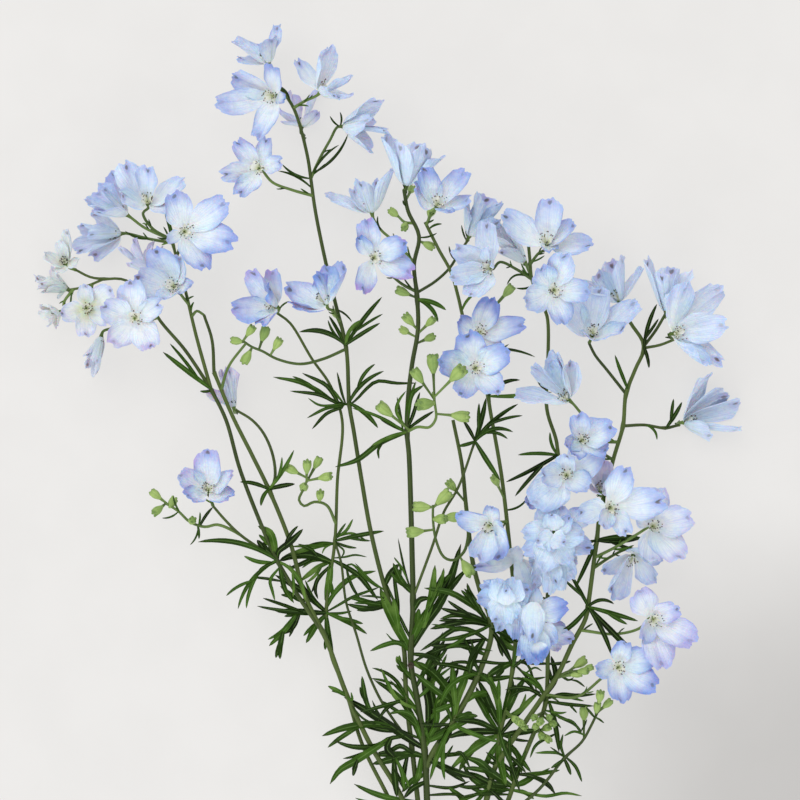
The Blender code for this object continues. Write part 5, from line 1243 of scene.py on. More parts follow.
FRONDS = [
    Frond("slim_left", [
        (3.1, (325, 608), (334, 594), (353, 577), (376, 571)),
        (1.7, (326, 612), (340, 604), (352, 597), (380, 587)),
        (1.5, (326, 613), (340, 613), (352, 611)),
        (3.5, (326, 615), (328, 630), (333, 658)),
        (3.6, (326, 612), (311, 598), (302, 590), (285, 580), (275, 575)),
        (3.7, (326, 613), (300, 612), (275, 611)),
        (2.8, (300, 613), (293, 628), (283, 634)),
        (3.1, (298, 613), (290, 623), (281, 634), (269, 646)),
        (3.3, (284, 632), (281, 645), (280, 659)),
        (1.8, (322, 610), (312, 596), (305, 580)),
        (2.4, (311, 600), (300, 600), (288, 592), (280, 586)),
        (3.3, (326, 614), (316, 625), (306, 643)),
    ]),
    Frond("slim_left", [
        (4.8, (331, 562), (310, 555), (292, 556), (279, 561)),
        (1.9, (318, 557), (312, 550), (298, 544)),
        (2.9, (331, 561), (320, 566), (308, 575), (300, 581)),
        (1.7, (327, 560), (312, 561), (302, 568)),
        (2.8, (333, 543), (318, 546), (300, 551), (288, 555)),
        (2.5, (333, 542), (320, 543), (306, 546)),
        (3.1, (332, 560), (345, 566), (360, 576), (378, 600)),
        (1.5, (345, 566), (352, 564), (366, 578), (378, 588)),
        (4.0, (331, 562), (330, 578), (326, 603)),
        (2.4, (330, 565), (317, 580), (315, 590), (318, 599)),
        (1.1, (330, 562), (319, 569), (318, 580)),
        (1.2, (333, 558), (345, 557), (355, 555), (367, 557)),
        (1.4, (335, 537), (352, 533), (366, 540)),
        (1.5, (335, 540), (341, 530), (346, 523)),
        (1.8, (336, 538), (347, 530), (353, 519)),
        (1.7, (335, 542), (347, 546), (357, 548)),
        (1.1, (335, 543), (344, 551), (341, 558)),
        (1.1, (333, 543), (325, 548), (322, 554)),
    ]),
    Frond("left_outer", [
        (3.5, (275, 562), (278, 552), (290, 542), (303, 529)),
        (4.0, (274, 560), (274, 545), (270, 533), (258, 526)),
        (2.4, (275, 562), (290, 568), (301, 582), (306, 602)),
        (2.8, (276, 566), (285, 590), (294, 603)),
        (1.7, (274, 583), (266, 578), (252, 577)),
        (1.9, (274, 563), (262, 568), (256, 576)),
        (3.6, (272, 558), (264, 548), (257, 540)),
        (2.5, (272, 560), (258, 561), (244, 556)),
        (1.9, (276, 568), (270, 580), (272, 590), (275, 601)),
    ]),
    Frond("upper_left", [
        (3.5, (383, 587), (390, 575), (399, 564)),
        (3.1, (388, 606), (372, 608), (360, 607), (347, 604)),
        (3.1, (388, 605), (370, 603), (357, 599), (349, 598)),
        (1.5, (384, 592), (370, 580), (355, 563)),
        (1.2, (386, 600), (372, 596), (360, 596)),
        (1.8, (388, 602), (378, 602), (366, 607)),
        (2.4, (395, 625), (398, 605), (396, 588), (393, 567)),
        (2.8, (400, 668), (398, 660), (397, 656)),
    ]),
    Frond("main", [
        (5.5, (411, 652), (397, 628), (386, 606), (380, 588)),
        (1.0, (404, 642), (393, 640), (386, 633)),
        (3.3, (412, 594), (401, 580), (393, 563)),
        (1.1, (404, 578), (400, 566), (394, 557)),
        (4.8, (413, 650), (425, 625), (440, 603), (452, 575), (461, 544)),
        (4.0, (423, 628), (430, 602), (433, 582), (435, 565)),
        (2.9, (440, 603), (442, 586), (453, 571)),
        (3.1, (427, 612), (436, 592), (443, 573)),
        (4.3, (412, 642), (418, 625), (427, 608)),
        (3.3, (413, 612), (420, 600), (430, 598)),
        (2.8, (412, 654), (425, 655), (437, 660), (443, 669)),
        (3.3, (413, 662), (425, 668), (433, 677)),
        (2.8, (412, 682), (404, 670), (397, 659)),
        (2.9, (411, 652), (398, 642), (385, 644), (370, 651)),
        (1.9, (411, 640), (404, 625), (398, 612)),
    ]),
    Frond("main", [
        (1.3, (405, 596), (406, 575), (402, 558), (398, 538)),
        (1.2, (406, 580), (401, 566), (394, 558)),
        (2.2, (413, 664), (430, 652), (447, 646), (478, 642)),
        (2.0, (430, 652), (456, 646), (474, 648), (493, 651)),
        (3.0, (412, 690), (424, 672), (434, 652), (443, 632)),
        (2.6, (413, 700), (428, 688), (440, 668), (447, 654)),
        (2.2, (412, 712), (398, 700), (388, 684), (381, 668)),
        (2.4, (414, 730), (432, 716), (446, 700), (452, 684)),
        (2.2, (414, 742), (396, 728), (380, 716), (372, 700)),
        (2.0, (414, 750), (430, 738), (450, 726), (468, 722)),
    ]),
    Frond("upper_left", [
        (2.6, (345, 405), (335, 402), (317, 390), (300, 382), (273, 377)),
        (2.0, (344, 405), (337, 403), (320, 395), (290, 391)),
        (2.2, (345, 405), (340, 404), (327, 386), (302, 373)),
        (1.6, (344, 404), (335, 393), (322, 380)),
        (1.6, (346, 402), (342, 394), (337, 372)),
        (1.8, (345, 406), (343, 406), (327, 408), (307, 418)),
        (2.0, (345, 407), (343, 407), (327, 413), (312, 429)),
        (1.4, (342, 404), (320, 405), (308, 398)),
        (2.0, (349, 405), (356, 400), (367, 388), (377, 381), (397, 383), (417, 383)),
    ]),
    Frond("main", [
        (3.0, (407, 432), (402, 434), (380, 443), (357, 460), (335, 467)),
        (1.5, (384, 441), (378, 450), (379, 459)),
        (1.8, (405, 432), (390, 422), (370, 413), (352, 408)),
        (3.0, (407, 431), (408, 410), (412, 394), (424, 385)),
        (2.2, (408, 430), (414, 413), (420, 392)),
        (1.8, (405, 429), (396, 411), (399, 400), (406, 391)),
        (1.5, (404, 430), (400, 414), (397, 397)),
        (2.0, (409, 430), (420, 420), (434, 411)),
    ]),
    Frond("bud_stem", [
        (3.7, (490, 626), (470, 621), (455, 623), (430, 629)),
        (3.5, (490, 624), (480, 611), (465, 600), (450, 592), (424, 588)),
        (2.9, (484, 616), (476, 602), (470, 592), (467, 583)),
        (2.4, (476, 607), (468, 597), (461, 590)),
        (3.1, (489, 621), (470, 615), (455, 612), (440, 608)),
        (2.9, (489, 623), (470, 617), (455, 615), (440, 619)),
        (2.9, (484, 641), (470, 630), (455, 629), (438, 640), (420, 651)),
        (2.9, (484, 643), (462, 642), (445, 647), (424, 656)),
        (4.5, (490, 626), (505, 634), (520, 642)),
        (3.3, (490, 630), (503, 648), (512, 664)),
        (2.8, (487, 656), (475, 650), (458, 646)),
        (4.3, (484, 640), (474, 655), (469, 674)),
        (1.9, (480, 668), (465, 662), (450, 664), (441, 670)),
    ]),
    Frond("main", [
        (4.8, (424, 750), (408, 738), (390, 725), (370, 712), (344, 697)),
        (2.9, (372, 713), (366, 700), (362, 676)),
        (4.1, (392, 727), (375, 724), (345, 728), (322, 736)),
        (1.2, (376, 721), (363, 718), (352, 706)),
        (3.2, (405, 737), (390, 738), (378, 745), (352, 746), (335, 741)),
        (4.1, (392, 740), (372, 750), (355, 761), (340, 770), (330, 784)),
        (2.4, (358, 760), (355, 768), (353, 776)),
        (3.6, (391, 739), (387, 748), (394, 757)),
        (4.3, (425, 758), (410, 753), (395, 758), (372, 764)),
        (3.1, (415, 750), (400, 745), (390, 750), (377, 753)),
        (3.7, (394, 759), (395, 775), (397, 797)),
        (2.4, (396, 759), (402, 772), (404, 790)),
        (2.8, (408, 754), (404, 770), (403, 790)),
        (4.0, (426, 757), (440, 765), (455, 771), (476, 778)),
        (2.5, (426, 757), (445, 755), (470, 753)),
        (1.9, (452, 741), (460, 752), (470, 768)),
        (1.7, (440, 763), (447, 754), (453, 745)),
        (3.2, (426, 744), (440, 736), (455, 727), (472, 720)),
        (3.7, (425, 748), (414, 722), (403, 702), (390, 690), (374, 680)),
        (2.8, (428, 738), (418, 712), (405, 695), (390, 680)),
        (3.6, (427, 745), (436, 722), (437, 702), (448, 686), (465, 676)),
        (3.1, (426, 740), (428, 702), (424, 686), (423, 672)),
        (5.2, (427, 748), (434, 715), (431, 685), (437, 655), (446, 638)),
        (2.4, (436, 697), (443, 684), (450, 676)),
        (1.0, (436, 703), (440, 700), (444, 697)),
        (2.9, (424, 745), (412, 715), (400, 711), (388, 714)),
        (3.2, (427, 783), (412, 788), (404, 798)),
        (3.3, (426, 775), (412, 780), (402, 792)),
        (3.1, (420, 760), (418, 775), (413, 786)),
        (1.9, (428, 787), (452, 787), (470, 781)),
        (1.7, (428, 797), (450, 794), (466, 796)),
        (2.8, (449, 786), (458, 794), (468, 801)),
        (3.3, (422, 806), (396, 799), (372, 792), (354, 784)),
    ]),
    Frond("bud_stem", [
        (4.8, (450, 722), (454, 703), (446, 688), (432, 672), (415, 661)),
        (4.5, (450, 722), (457, 700), (465, 680), (470, 660)),
        (3.1, (454, 704), (445, 707), (432, 712)),
        (3.3, (462, 702), (475, 695), (488, 692)),
        (4.5, (450, 724), (446, 735), (440, 748)),
        (3.3, (452, 722), (462, 716), (478, 716)),
    ]),
    Frond("left", [
        (2.4, (345, 698), (337, 690), (328, 686)),
        (1.4, (345, 697), (352, 700), (351, 692)),
    ]),
    Frond("second", [
        (4.1, (500, 733), (480, 731), (460, 733), (447, 738)),
        (3.3, (500, 732), (480, 722), (466, 720), (452, 720)),
        (4.0, (499, 736), (480, 742), (468, 755), (459, 771)),
        (3.5, (495, 738), (475, 748), (463, 757), (450, 770)),
        (3.1, (499, 731), (488, 716), (480, 702), (471, 690)),
        (4.0, (500, 729), (490, 706), (484, 692), (478, 680)),
        (3.6, (500, 726), (498, 702), (492, 684), (488, 672)),
        (3.7, (505, 722), (511, 702), (518, 688), (527, 676)),
        (5.1, (504, 722), (508, 700), (512, 678)),
        (2.9, (505, 720), (520, 710), (530, 700), (539, 692)),
        (3.5, (501, 737), (512, 733), (525, 731), (540, 730)),
        (1.7, (502, 738), (520, 740), (531, 741)),
        (3.3, (501, 739), (513, 748), (522, 760), (531, 772)),
        (4.1, (499, 742), (499, 755), (502, 772), (506, 786)),
        (3.1, (498, 742), (490, 755), (484, 770)),
        (4.0, (512, 662), (500, 668), (486, 677)),
        (3.3, (512, 677), (490, 679), (462, 677)),
        (1.9, (512, 662), (498, 663), (478, 661), (460, 663)),
        (1.5, (513, 664), (524, 674), (534, 690)),
        (1.5, (514, 662), (527, 664), (533, 678), (537, 692)),
        (1.2, (527, 672), (535, 667), (542, 671)),
        (1.8, (513, 677), (530, 679), (546, 677)),
        (1.7, (510, 698), (522, 690), (534, 690), (542, 693)),
        (3.6, (513, 650), (507, 645), (500, 634)),
    ]),
    Frond("vertical", [
        (4.5, (512, 788), (490, 771), (480, 762), (465, 757)),
        (4.0, (510, 788), (490, 782), (475, 775), (458, 772)),
        (3.1, (508, 790), (485, 786), (470, 776), (462, 762)),
        (3.1, (514, 784), (512, 766), (524, 757)),
        (2.4, (513, 783), (503, 768), (503, 755), (509, 746)),
        (1.9, (514, 782), (520, 765), (526, 750)),
        (3.5, (513, 786), (522, 783), (536, 775)),
        (2.4, (512, 790), (525, 792), (534, 799)),
        (1.9, (520, 800), (545, 796), (565, 793), (582, 796)),
        (3.1, (508, 792), (486, 792), (469, 787)),
        (1.8, (508, 795), (480, 794), (460, 797)),
        (2.2, (549, 700), (560, 694), (576, 695), (596, 694)),
        (1.9, (552, 700), (566, 696), (584, 701)),
        (2.1, (549, 702), (570, 704), (594, 706)),
        (1.2, (568, 705), (573, 708), (577, 713)),
        (1.5, (549, 712), (560, 713), (567, 712)),
        (3.0, (549, 702), (553, 716), (556, 732), (559, 752)),
        (1.9, (549, 715), (562, 718), (574, 724), (582, 732)),
        (1.2, (553, 717), (557, 723), (561, 728)),
        (3.2, (549, 695), (555, 677), (551, 656)),
        (1.9, (549, 664), (560, 663), (571, 661)),
        (2.0, (549, 664), (532, 663), (515, 662)),
        (1.6, (549, 678), (560, 675), (569, 680), (574, 677)),
        (1.2, (570, 679), (577, 681), (585, 687)),
        (1.8, (546, 735), (536, 745), (530, 758)),
    ]),
    Frond("low_right_twig", [
        (1.7, (565, 757), (558, 753), (548, 752), (535, 753)),
        (1.7, (565, 757), (561, 746), (563, 734)),
        (1.0, (563, 756), (556, 751), (550, 747)),
        (1.9, (566, 757), (575, 766), (582, 782)),
        (2.2, (565, 759), (568, 766), (571, 775)),
        (1.8, (565, 759), (558, 763), (551, 768)),
        (1.4, (582, 733), (574, 731), (564, 736)),
        (1.5, (583, 731), (572, 721), (558, 718)),
        (1.0, (584, 730), (585, 724), (587, 719)),
        (1.4, (595, 717), (590, 712), (586, 707)),
        (1.1, (594, 717), (599, 719), (604, 723)),
    ]),
]


def lobe_line(pixels, root, tip_height):
    """The middle line of a lobe that starts at its root and follows the pixels to its tip."""
    heights = [between((root.z / MM, tip_height), share) for share in shares_along(pixels)]
    points = [spot(pixel, height) for pixel, height in zip(pixels, heights)]
    line = smooth([root] + points[1:], LOBE_SPACING)
    shares = shares_along(line)
    even = np.linspace(0.0, 1.0, BLADE_ROWS)
    middle = np.column_stack([np.interp(even, shares, values) for values in zip(*line)])
    middle[:, 2] += LOBE_ARCH * MM * np.sin(even * math.pi)
    return middle


def add_frond(surface, frond, stem_path, draw):
    """The lobes of a frond, each from the nearest point of the stem or of the earlier lobes."""
    carried_by = [stem_path]
    for width, *pixels in frond.lobes:
        root = seat(pixels[0], carried_by)
        tip_height = max(root.z / MM + draw.uniform(-2.0, 5.0), LOWEST_TIP)
        middle = lobe_line(pixels, root, tip_height)
        shade = draw.random()
        add_blade(surface, middle, LOBE_FULLNESS * width, draw.uniform(-0.5, 0.5), shade)
        carried_by.append([Vector(point) for point in middle])
        if width > FORKED_WIDTH and draw.random() < FORK_CHANCE:
            start = Vector(middle[draw.randint(3, 5)])
            turn = draw.choice((-1.0, 1.0)) * math.radians(draw.uniform(9.0, 24.0))
            end = start + turned(Vector(middle[-1]) - start, turn) * draw.uniform(0.6, 1.0)
            end.z = max(end.z, LOWEST_TIP * MM)
            fork = bowed(start, end, draw.uniform(-0.08, 0.08), 0.05)
            add_blade(surface, fork, width * draw.uniform(0.6, 0.85), draw.uniform(-0.6, 0.6), shade)


def leaf_surface(paths):
    """The lobes of all leaves that grow round a node."""
    surface = Surface("along", "across", "back", "shade")
    draw = random.Random(7)
    for leaf in LEAVES:
        root = nearest_on(paths[leaf.stem], spot(leaf.node, MIDDLE_HEIGHT))
        root.z += LEAF_RISE * MM
        for pixel in leaf.tips:
            height = root.z / MM + leaf.rise + draw.uniform(-LEAF_WANDER, LEAF_WANDER)
            add_lobe(surface, root, spot(pixel, max(height, LOWEST_TIP)), draw)
    for frond in FRONDS:
        add_frond(surface, frond, paths[frond.stem], draw)
    return surface


# A narrow leaf by itself: the pixels of its foot and its tip, its width, and how far it bows to
# its left on its way, as a share of its length.
Strap = namedtuple("Strap", "foot tip width bow")

STRAPS = [
    Strap((312, 173), (348, 134), 1.9, -0.10),
    Strap((312, 175), (339, 145), 1.5, 0.08),
    Strap((310, 180), (282, 164), 1.6, 0.10),
    Strap((310, 190), (278, 171), 1.5, -0.08),
    Strap((280, 86), (290, 100), 1.2, 0.10),
    Strap((303, 100), (308, 98), 1.2, 0.0),
    Strap((340, 128), (330, 116), 1.2, 0.10),
    Strap((340, 127), (340, 112), 1.2, -0.12),
    Strap((150, 238), (125, 231), 1.4, 0.10),
    Strap((147, 303), (148, 292), 1.2, 0.10),
    Strap((384, 228), (378, 216), 1.3, 0.10),
    Strap((425, 232), (442, 224), 1.4, 0.12),
    Strap((425, 238), (437, 233), 1.2, -0.10),
    Strap((403, 208), (403, 200), 1.2, 0.10),
    Strap((452, 258), (449, 246), 1.3, 0.10),
    Strap((462, 312), (478, 292), 1.7, 0.12),
    Strap((476, 352), (535, 357), 2.2, 0.08),
    Strap((476, 352), (509, 344), 1.6, -0.10),
    Strap((489, 396), (500, 382), 1.5, 0.08),
    Strap((528, 276), (507, 285), 1.6, -0.22),
    Strap((530, 287), (516, 288), 1.3, 0.10),
    Strap((547, 390), (537, 376), 1.5, 0.10),
    Strap((557, 455), (550, 432), 1.9, 0.10),
    Strap((506, 510), (528, 497), 1.6, -0.12),
    Strap((573, 403), (563, 392), 1.3, 0.12),
    Strap((645, 425), (657, 440), 1.6, 0.20),
    Strap((597, 540), (646, 540), 3.0, 0.06),
    Strap((612, 548), (634, 545), 1.6, -0.08),
    Strap((346, 347), (299, 332), 1.9, -0.18),
    Strap((338, 310), (352, 322), 1.4, 0.10),
    Strap((345, 345), (328, 320), 1.8, 0.08),
    Strap((200, 527), (213, 507), 1.9, 0.06),
    Strap((198, 527), (200, 512), 1.4, -0.08),
    Strap((198, 527), (190, 545), 1.2, 0.10),
    Strap((197, 527), (199, 539), 1.6, 0.06),
    Strap((181, 513), (173, 496), 1.2, 0.05),
    Strap((196, 312), (194, 302), 1.8, 0.05),
    Strap((186, 300), (194, 296), 1.1, 0.05),
    Strap((214, 389), (200, 391), 1.7, 0.05),
    Strap((218, 389), (223, 389), 1.3, 0.05),
    Strap((178, 512), (162, 518), 1.2, 0.12),
]


def carriers(paths):
    """The paths of all stems, stalks and twigs that a leaf may sit on."""
    stalks = [stalk_points(bloom, paths) for bloom in BLOOMS]
    return [*paths.values(), *stalks, *(twig_points(twig, paths) for twig in BUD_TWIGS)]


def seat(pixel, carried_by):
    """The point of any of the paths that lies nearest to what the eye sees at this pixel."""
    near = [nearest_on(path, spot(pixel, path[len(path) // 2].z / MM)) for path in carried_by]
    return min(near, key=lambda point: (spot(pixel, point.z / MM) - point).length)


def strap_surface(paths):
    """The narrow leaves that grow by themselves."""
    surface = Surface("along", "across", "back", "shade")
    draw = random.Random(23)
    carried_by = carriers(paths)
    for strap in STRAPS:
        root = seat(strap.foot, carried_by)
        height = max(root.z / MM + draw.uniform(-2.0, 5.0), LOWEST_TIP)
        middle = bowed(root, spot(strap.tip, height), strap.bow, draw.uniform(0.03, 0.1))
        add_blade(surface, middle, strap.width, draw.uniform(-0.9, 0.9), draw.random())
    return surface


# The bracts of a flower's stalk: how far down the stalk each sits, its length and its width.
BRACTS = ((0.97, 9.0, 1.1), (0.6, 5.5, 0.8), (0.55, 5.0, 0.8))


def bract_surface(paths):
    """The narrow bracts where stalks leave their stems, and the pairs of smaller ones on the stalks."""
    surface = Surface("along", "across", "back", "shade")
    draw = random.Random(11)
    for bloom in BLOOMS:
        points = stalk_points(bloom, paths)
        for share, length, width in BRACTS:
            place = int(share * (len(points) - 1))
            run = (points[place - 1] - points[place]).normalized()
            turn = draw.choice((-1.0, 1.0)) * math.radians(draw.uniform(18.0, 48.0))
            tip = points[place] + turned(run, turn, 0.15) * length * draw.uniform(0.7, 1.2) * MM
            tip.z = max(tip.z, LOWEST_TIP * MM)
            middle = bowed(points[place], tip, draw.uniform(-0.1, 0.1), 0.06)
            add_blade(surface, middle, width, draw.uniform(-0.6, 0.6), draw.random())
    return surface


# The materials
def linear(colour):
    """A colour of 0 to 255 as the shader's linear values."""
    shares = [value / 255.0 for value in colour]
    made = [s / 12.92 if s <= 0.04045 else ((s + 0.055) / 1.055) ** 2.4 for s in shares]
    return (*made, 1.0)


class Finish:
    """A material with short ways to add the nodes that colour it."""

    def __init__(self, name, **constants):
        self.material = bpy.data.materials.new(name)
        self.material.use_nodes = True
        self.nodes = self.material.node_tree.nodes
        self.links = self.material.node_tree.links
        self.shader = self.nodes["Principled BSDF"]
        for socket, value in constants.items():
            self.shader.inputs[socket.replace("_", " ")].default_value = value

    def give(self, socket, value):
        """Link a socket to a value of another node, or set it to a plain value."""
        if hasattr(value, "links"):
            self.links.new(value, socket)
        else:
            socket.default_value = value

    def held(self, name):
        """A point value of the piece."""
        node = self.nodes.new("ShaderNodeAttribute")
        node.attribute_name = name
        return node.outputs["Fac"]

    def place(self):
        """Where on its piece a point lies, in metres."""
        return self.nodes.new("ShaderNodeTexCoord").outputs["Object"]

    def maths(self, operation, first, second=0.0):
        node = self.nodes.new("ShaderNodeMath")
        node.operation = operation
        self.give(node.inputs[0], first)
        self.give(node.inputs[1], second)
        return node.outputs[0]

    def plus(self, first, second):
        return self.maths("ADD", first, second)

    def minus(self, first, second):
        return self.maths("SUBTRACT", first, second)

    def times(self, first, *others):
        """The product of all the values."""
        product = first
        for value in others:
            product = self.maths("MULTIPLY", product, value)
        return product

    def blend(self, first, second, share):
        """This share of the first value and the rest of the second."""
        return self.plus(self.times(first, share), self.times(second, 1.0 - share))

    def wandering(self, value, patches, reach):
        """A value that wanders up and down by the patches of a noise."""
        return self.plus(value, self.times(self.minus(patches, 0.5), reach))

    def away(self, x, y, middle, sizes=(1.0, 1.0)):
        """The squared distance of x and y from a middle, each measured in its own size."""
        squares = [self.maths("POWER", self.maths("DIVIDE", self.minus(value, centre), size), 2.0)
                   for value, centre, size in zip((x, y), middle, sizes)]
        return self.plus(*squares)

    def step(self, value, low, high):
        """0 below low, 1 above high, and a soft step between."""
        node = self.nodes.new("ShaderNodeMapRange")
        node.interpolation_type = "SMOOTHSTEP"
        for name, given in (("Value", value), ("From Min", low), ("From Max", high)):
            self.give(node.inputs[name], given)
        return node.outputs["Result"]

    def below(self, value, low, high):
        """1 below low, 0 above high, and a soft step between."""
        return self.minus(1.0, self.step(value, low, high))

    def noise(self, scale, detail=2.0, vector=None):
        """A noise of this scale, over the places of the piece or over other values."""
        node = self.nodes.new("ShaderNodeTexNoise")
        node.inputs["Scale"].default_value = scale
        node.inputs["Detail"].default_value = detail
        self.links.new(vector or self.place(), node.inputs["Vector"])
        return node.outputs["Fac"]

    def grooves(self, across, along, other, detail):
        """A noise over the point values of a piece, which runs along it in streaks."""
        node = self.nodes.new("ShaderNodeCombineXYZ")
        for socket, value in zip(node.inputs, (across, along, other)):
            self.give(socket, value)
        return self.noise(1.0, detail, node.outputs[0])

    def ramp(self, factor, stops):
        """The colour that belongs to a value, between the colours of the stops."""
        node = self.nodes.new("ShaderNodeValToRGB")
        elements = node.color_ramp.elements
        while len(elements) < len(stops):
            elements.new(0.5)
        for element, (place, colour) in zip(elements, stops):
            element.position = place
            element.color = linear(colour)
        self.links.new(factor, node.inputs["Fac"])
        return node.outputs["Color"]

    def mix(self, factor, first, second):
        """The first colour where the factor is 0, and the second where it is 1."""
        node = self.nodes.new("ShaderNodeMix")
        node.data_type = "RGBA"
        sockets = {socket.identifier: socket for socket in (*node.inputs, *node.outputs)}
        self.give(sockets["Factor_Float"], factor)
        self.give(sockets["A_Color"], first)
        self.give(sockets["B_Color"], second)
        return sockets["Result_Color"]

    def toward(self, colour, goal, *strengths):
        """A colour changed toward a plain one by the product of the strengths."""
        return self.mix(self.times(*strengths), colour, linear(goal))

    def bump(self, height, strength, depth):
        """Let the surface look rough by a height, whose full range is this deep in millimetres."""
        node = self.nodes.new("ShaderNodeBump")
        node.inputs["Strength"].default_value = strength
        node.inputs["Distance"].default_value = depth * MM
        self.links.new(height, node.inputs["Height"])
        self.links.new(node.outputs["Normal"], self.shader.inputs["Normal"])

    def colour(self, colour):
        """The finished material, in this colour."""
        self.give(self.shader.inputs["Base Color"], colour)
        return self.material


# Colours, from 0 to 255
DEEP_BLUE = (110, 152, 220)
ROSE = (178, 136, 208)
GLAND = (74, 84, 70)
RIB_GREEN = (170, 196, 160)
MOTTLE_WHITE = (240, 245, 250)
CLOUD_BLUE = (184, 207, 242)
VEIN_BLUE = (150, 178, 240)
HALO_BLUE = (118, 146, 216)
PETAL_RAMP = ((0.0, (204, 214, 160)), (0.3, (236, 238, 224)), (0.8, (244, 244, 242)), (1.0, (232, 233, 214)))
THREAD_RAMP = ((0.0, (214, 222, 170)), (1.0, (236, 238, 226)))
ANTHER_RAMP = ((0.0, (38, 34, 34)), (0.7, (62, 56, 48)), (1.0, (128, 122, 74)))
ANTHER_DUST = (96, 92, 70)
STEM_GREENS = ((38, 54, 12), (76, 94, 38))  # the darkest and the lightest
STALK_GREENS = ((58, 80, 30), (106, 132, 66))
RIDGE_GREEN = (112, 132, 68)
SPECK_GREEN = (140, 160, 100)
LEAF_RAMP = ((0.22, (16, 31, 0)), (0.45, (31, 56, 3)), (0.68, (56, 90, 20)), (0.88, (104, 134, 60)))
LEAF_BACK = (98, 130, 70)
LEAF_RIB = (120, 156, 84)
LEAF_TIP = (52, 48, 32)
BUD_GREENS = ((120, 152, 74), (166, 190, 106))
BUD_TIP = (68, 102, 40)
BUD_SEAM = (94, 130, 54)
SCAR_BROWNS = ((34, 25, 18), (74, 62, 46))
FLOOR_GREYS = ((127, 126, 126), (131, 130, 130))
FLOOR_GLOW = (201, 200, 198)
# the grey of the patch of painted shade on the floor
PAINTED_SHADE_GREY = (90, 88, 86)

# The spot at a sepal's tip: where it lies in shares across and along, and its size in them
GLAND_SPOT = (0.0, 0.91)
GLAND_SIZES = (0.15, 0.06)


def sepal_finish(tint):
    """Thin sepals: pale in the throat, deeper toward the tip, veined, with a dark spot at the tip."""
    finish = Finish(f"sepal_{tint}", Roughness=0.6, Specular_IOR_Level=0.35, Subsurface_Weight=0.25,
                    Subsurface_Scale=0.003)
    along, across, deep = finish.held("along"), finish.held("across"), finish.held("deep")
    width = finish.maths("ABSOLUTE", across)
    outward = finish.wandering(along, finish.noise(110.0), 0.35)
    colour = finish.ramp(outward, TINTS[tint].ramp)

    mottle = finish.step(finish.noise(430.0, 3.0), 0.46, 0.66)
    colour = finish.toward(colour, MOTTLE_WHITE, mottle, 0.4)
    clouds = finish.step(finish.noise(190.0), 0.5, 0.68)
    colour = finish.toward(colour, CLOUD_BLUE, clouds, 0.26)

    # Painted light and shade mixed with the sepals' own depth of colour: the deep value turns a sepal toward
    colour = finish.toward(colour, DEEP_BLUE, finish.step(outward, 0.45, 1.05), deep, 0.85)
    # DEEP_BLUE, and below 0 toward its tint's pale colour, which lights up side-on flowers whose cups lie in
    # shade
    colour = finish.toward(colour, TINTS[tint].pale, deep, -0.9)
    blotches = finish.step(finish.noise(85.0, 1.0), 0.42, 0.62)
    colour = finish.toward(colour, ROSE, finish.step(outward, 0.6, 1.05), finish.held("rosy"), blotches)

    streaks = finish.grooves(finish.times(across, 16.0), finish.times(along, 1.6), deep, 3.0)
    veins = finish.step(streaks, 0.46, 0.62)
    colour = finish.toward(colour, VEIN_BLUE, veins, finish.step(along, 0.1, 0.6), 0.26)
    rib = finish.times(finish.below(width, 0.02, 0.11), finish.minus(1.05, along))
    colour = finish.toward(colour, RIB_GREEN, rib, finish.held("back"), 0.7)

    from_gland = finish.away(width, along, GLAND_SPOT, GLAND_SIZES)
    spotted = finish.held("spotted")
    colour = finish.toward(colour, HALO_BLUE, finish.below(from_gland, 0.5, 9.0), spotted, 0.4)
    colour = finish.toward(colour, GLAND, finish.below(from_gland, 0.1, 1.2), spotted, 0.8)
    finish.bump(finish.plus(streaks, finish.times(finish.noise(260.0, 3.0), 1.7)), 0.65, 1.1)
    return finish.colour(colour)


def petal_finish():
    """Cream petals, greener at the foot."""
    finish = Finish("throat_petals", Roughness=0.5)
    patches = finish.noise(500.0)
    finish.bump(patches, 0.3, 0.4)
    return finish.colour(finish.ramp(finish.wandering(finish.held("along"), patches, 0.4), PETAL_RAMP))


def thread_finish():
    """Pale threads, greener at the foot."""
    finish = Finish("stamen_threads", Roughness=0.5)
    return finish.colour(finish.ramp(finish.held("along"), THREAD_RAMP))


def anther_finish():
    """Dark anthers, some of them dusty and lighter."""
    finish = Finish("anthers", Roughness=0.6)
    speckle = finish.noise(2500.0)
    colour = finish.ramp(finish.held("shade"), ANTHER_RAMP)
    finish.bump(speckle, 0.4, 0.2)
    return finish.colour(finish.toward(colour, ANTHER_DUST, speckle, 0.3))


def stem_finish(name, dark, light):
    """Green stems with fine ridges along them and paler, browner patches."""
    finish = Finish(name, Roughness=0.55, Specular_IOR_Level=0.3)
    shade = finish.held("shade")
    across, along = finish.times(finish.held("around"), 9.0), finish.times(finish.held("along"), 14.0)
    ridges = finish.grooves(across, along, shade, 2.0)
    patches = finish.blend(finish.noise(60.0, 3.0), shade, 0.55)
    colour = finish.mix(finish.step(patches, 0.2, 0.8), linear(dark), linear(light))
    colour = finish.toward(colour, RIDGE_GREEN, finish.step(ridges, 0.4, 0.7), 0.18)
    colour = finish.toward(colour, SPECK_GREEN, finish.noise(900.0), 0.05)
    finish.bump(ridges, 0.4, 0.4)
    return finish.colour(colour)


def leaf_finish():
    """Dark green lobes with a paler rib, paler backs and fine grain."""
    finish = Finish("leaf", Roughness=0.52, Specular_IOR_Level=0.12)
    along, across, shade = finish.held("along"), finish.held("across"), finish.held("shade")
    colour = finish.ramp(finish.blend(finish.noise(90.0, 3.0), shade, 0.5), LEAF_RAMP)
    colour = finish.toward(colour, LEAF_BACK, finish.held("back"), 0.4)
    rib = finish.below(finish.maths("ABSOLUTE", across), 0.03, 0.2)
    colour = finish.toward(colour, LEAF_RIB, rib, 0.35)
    colour = finish.toward(colour, LEAF_TIP, finish.step(along, 0.9, 1.0), 0.6)
    grain = finish.grooves(finish.times(across, 6.0), finish.times(along, 9.0), shade, 3.0)
    finish.bump(grain, 0.35, 0.4)
    return finish.colour(colour)


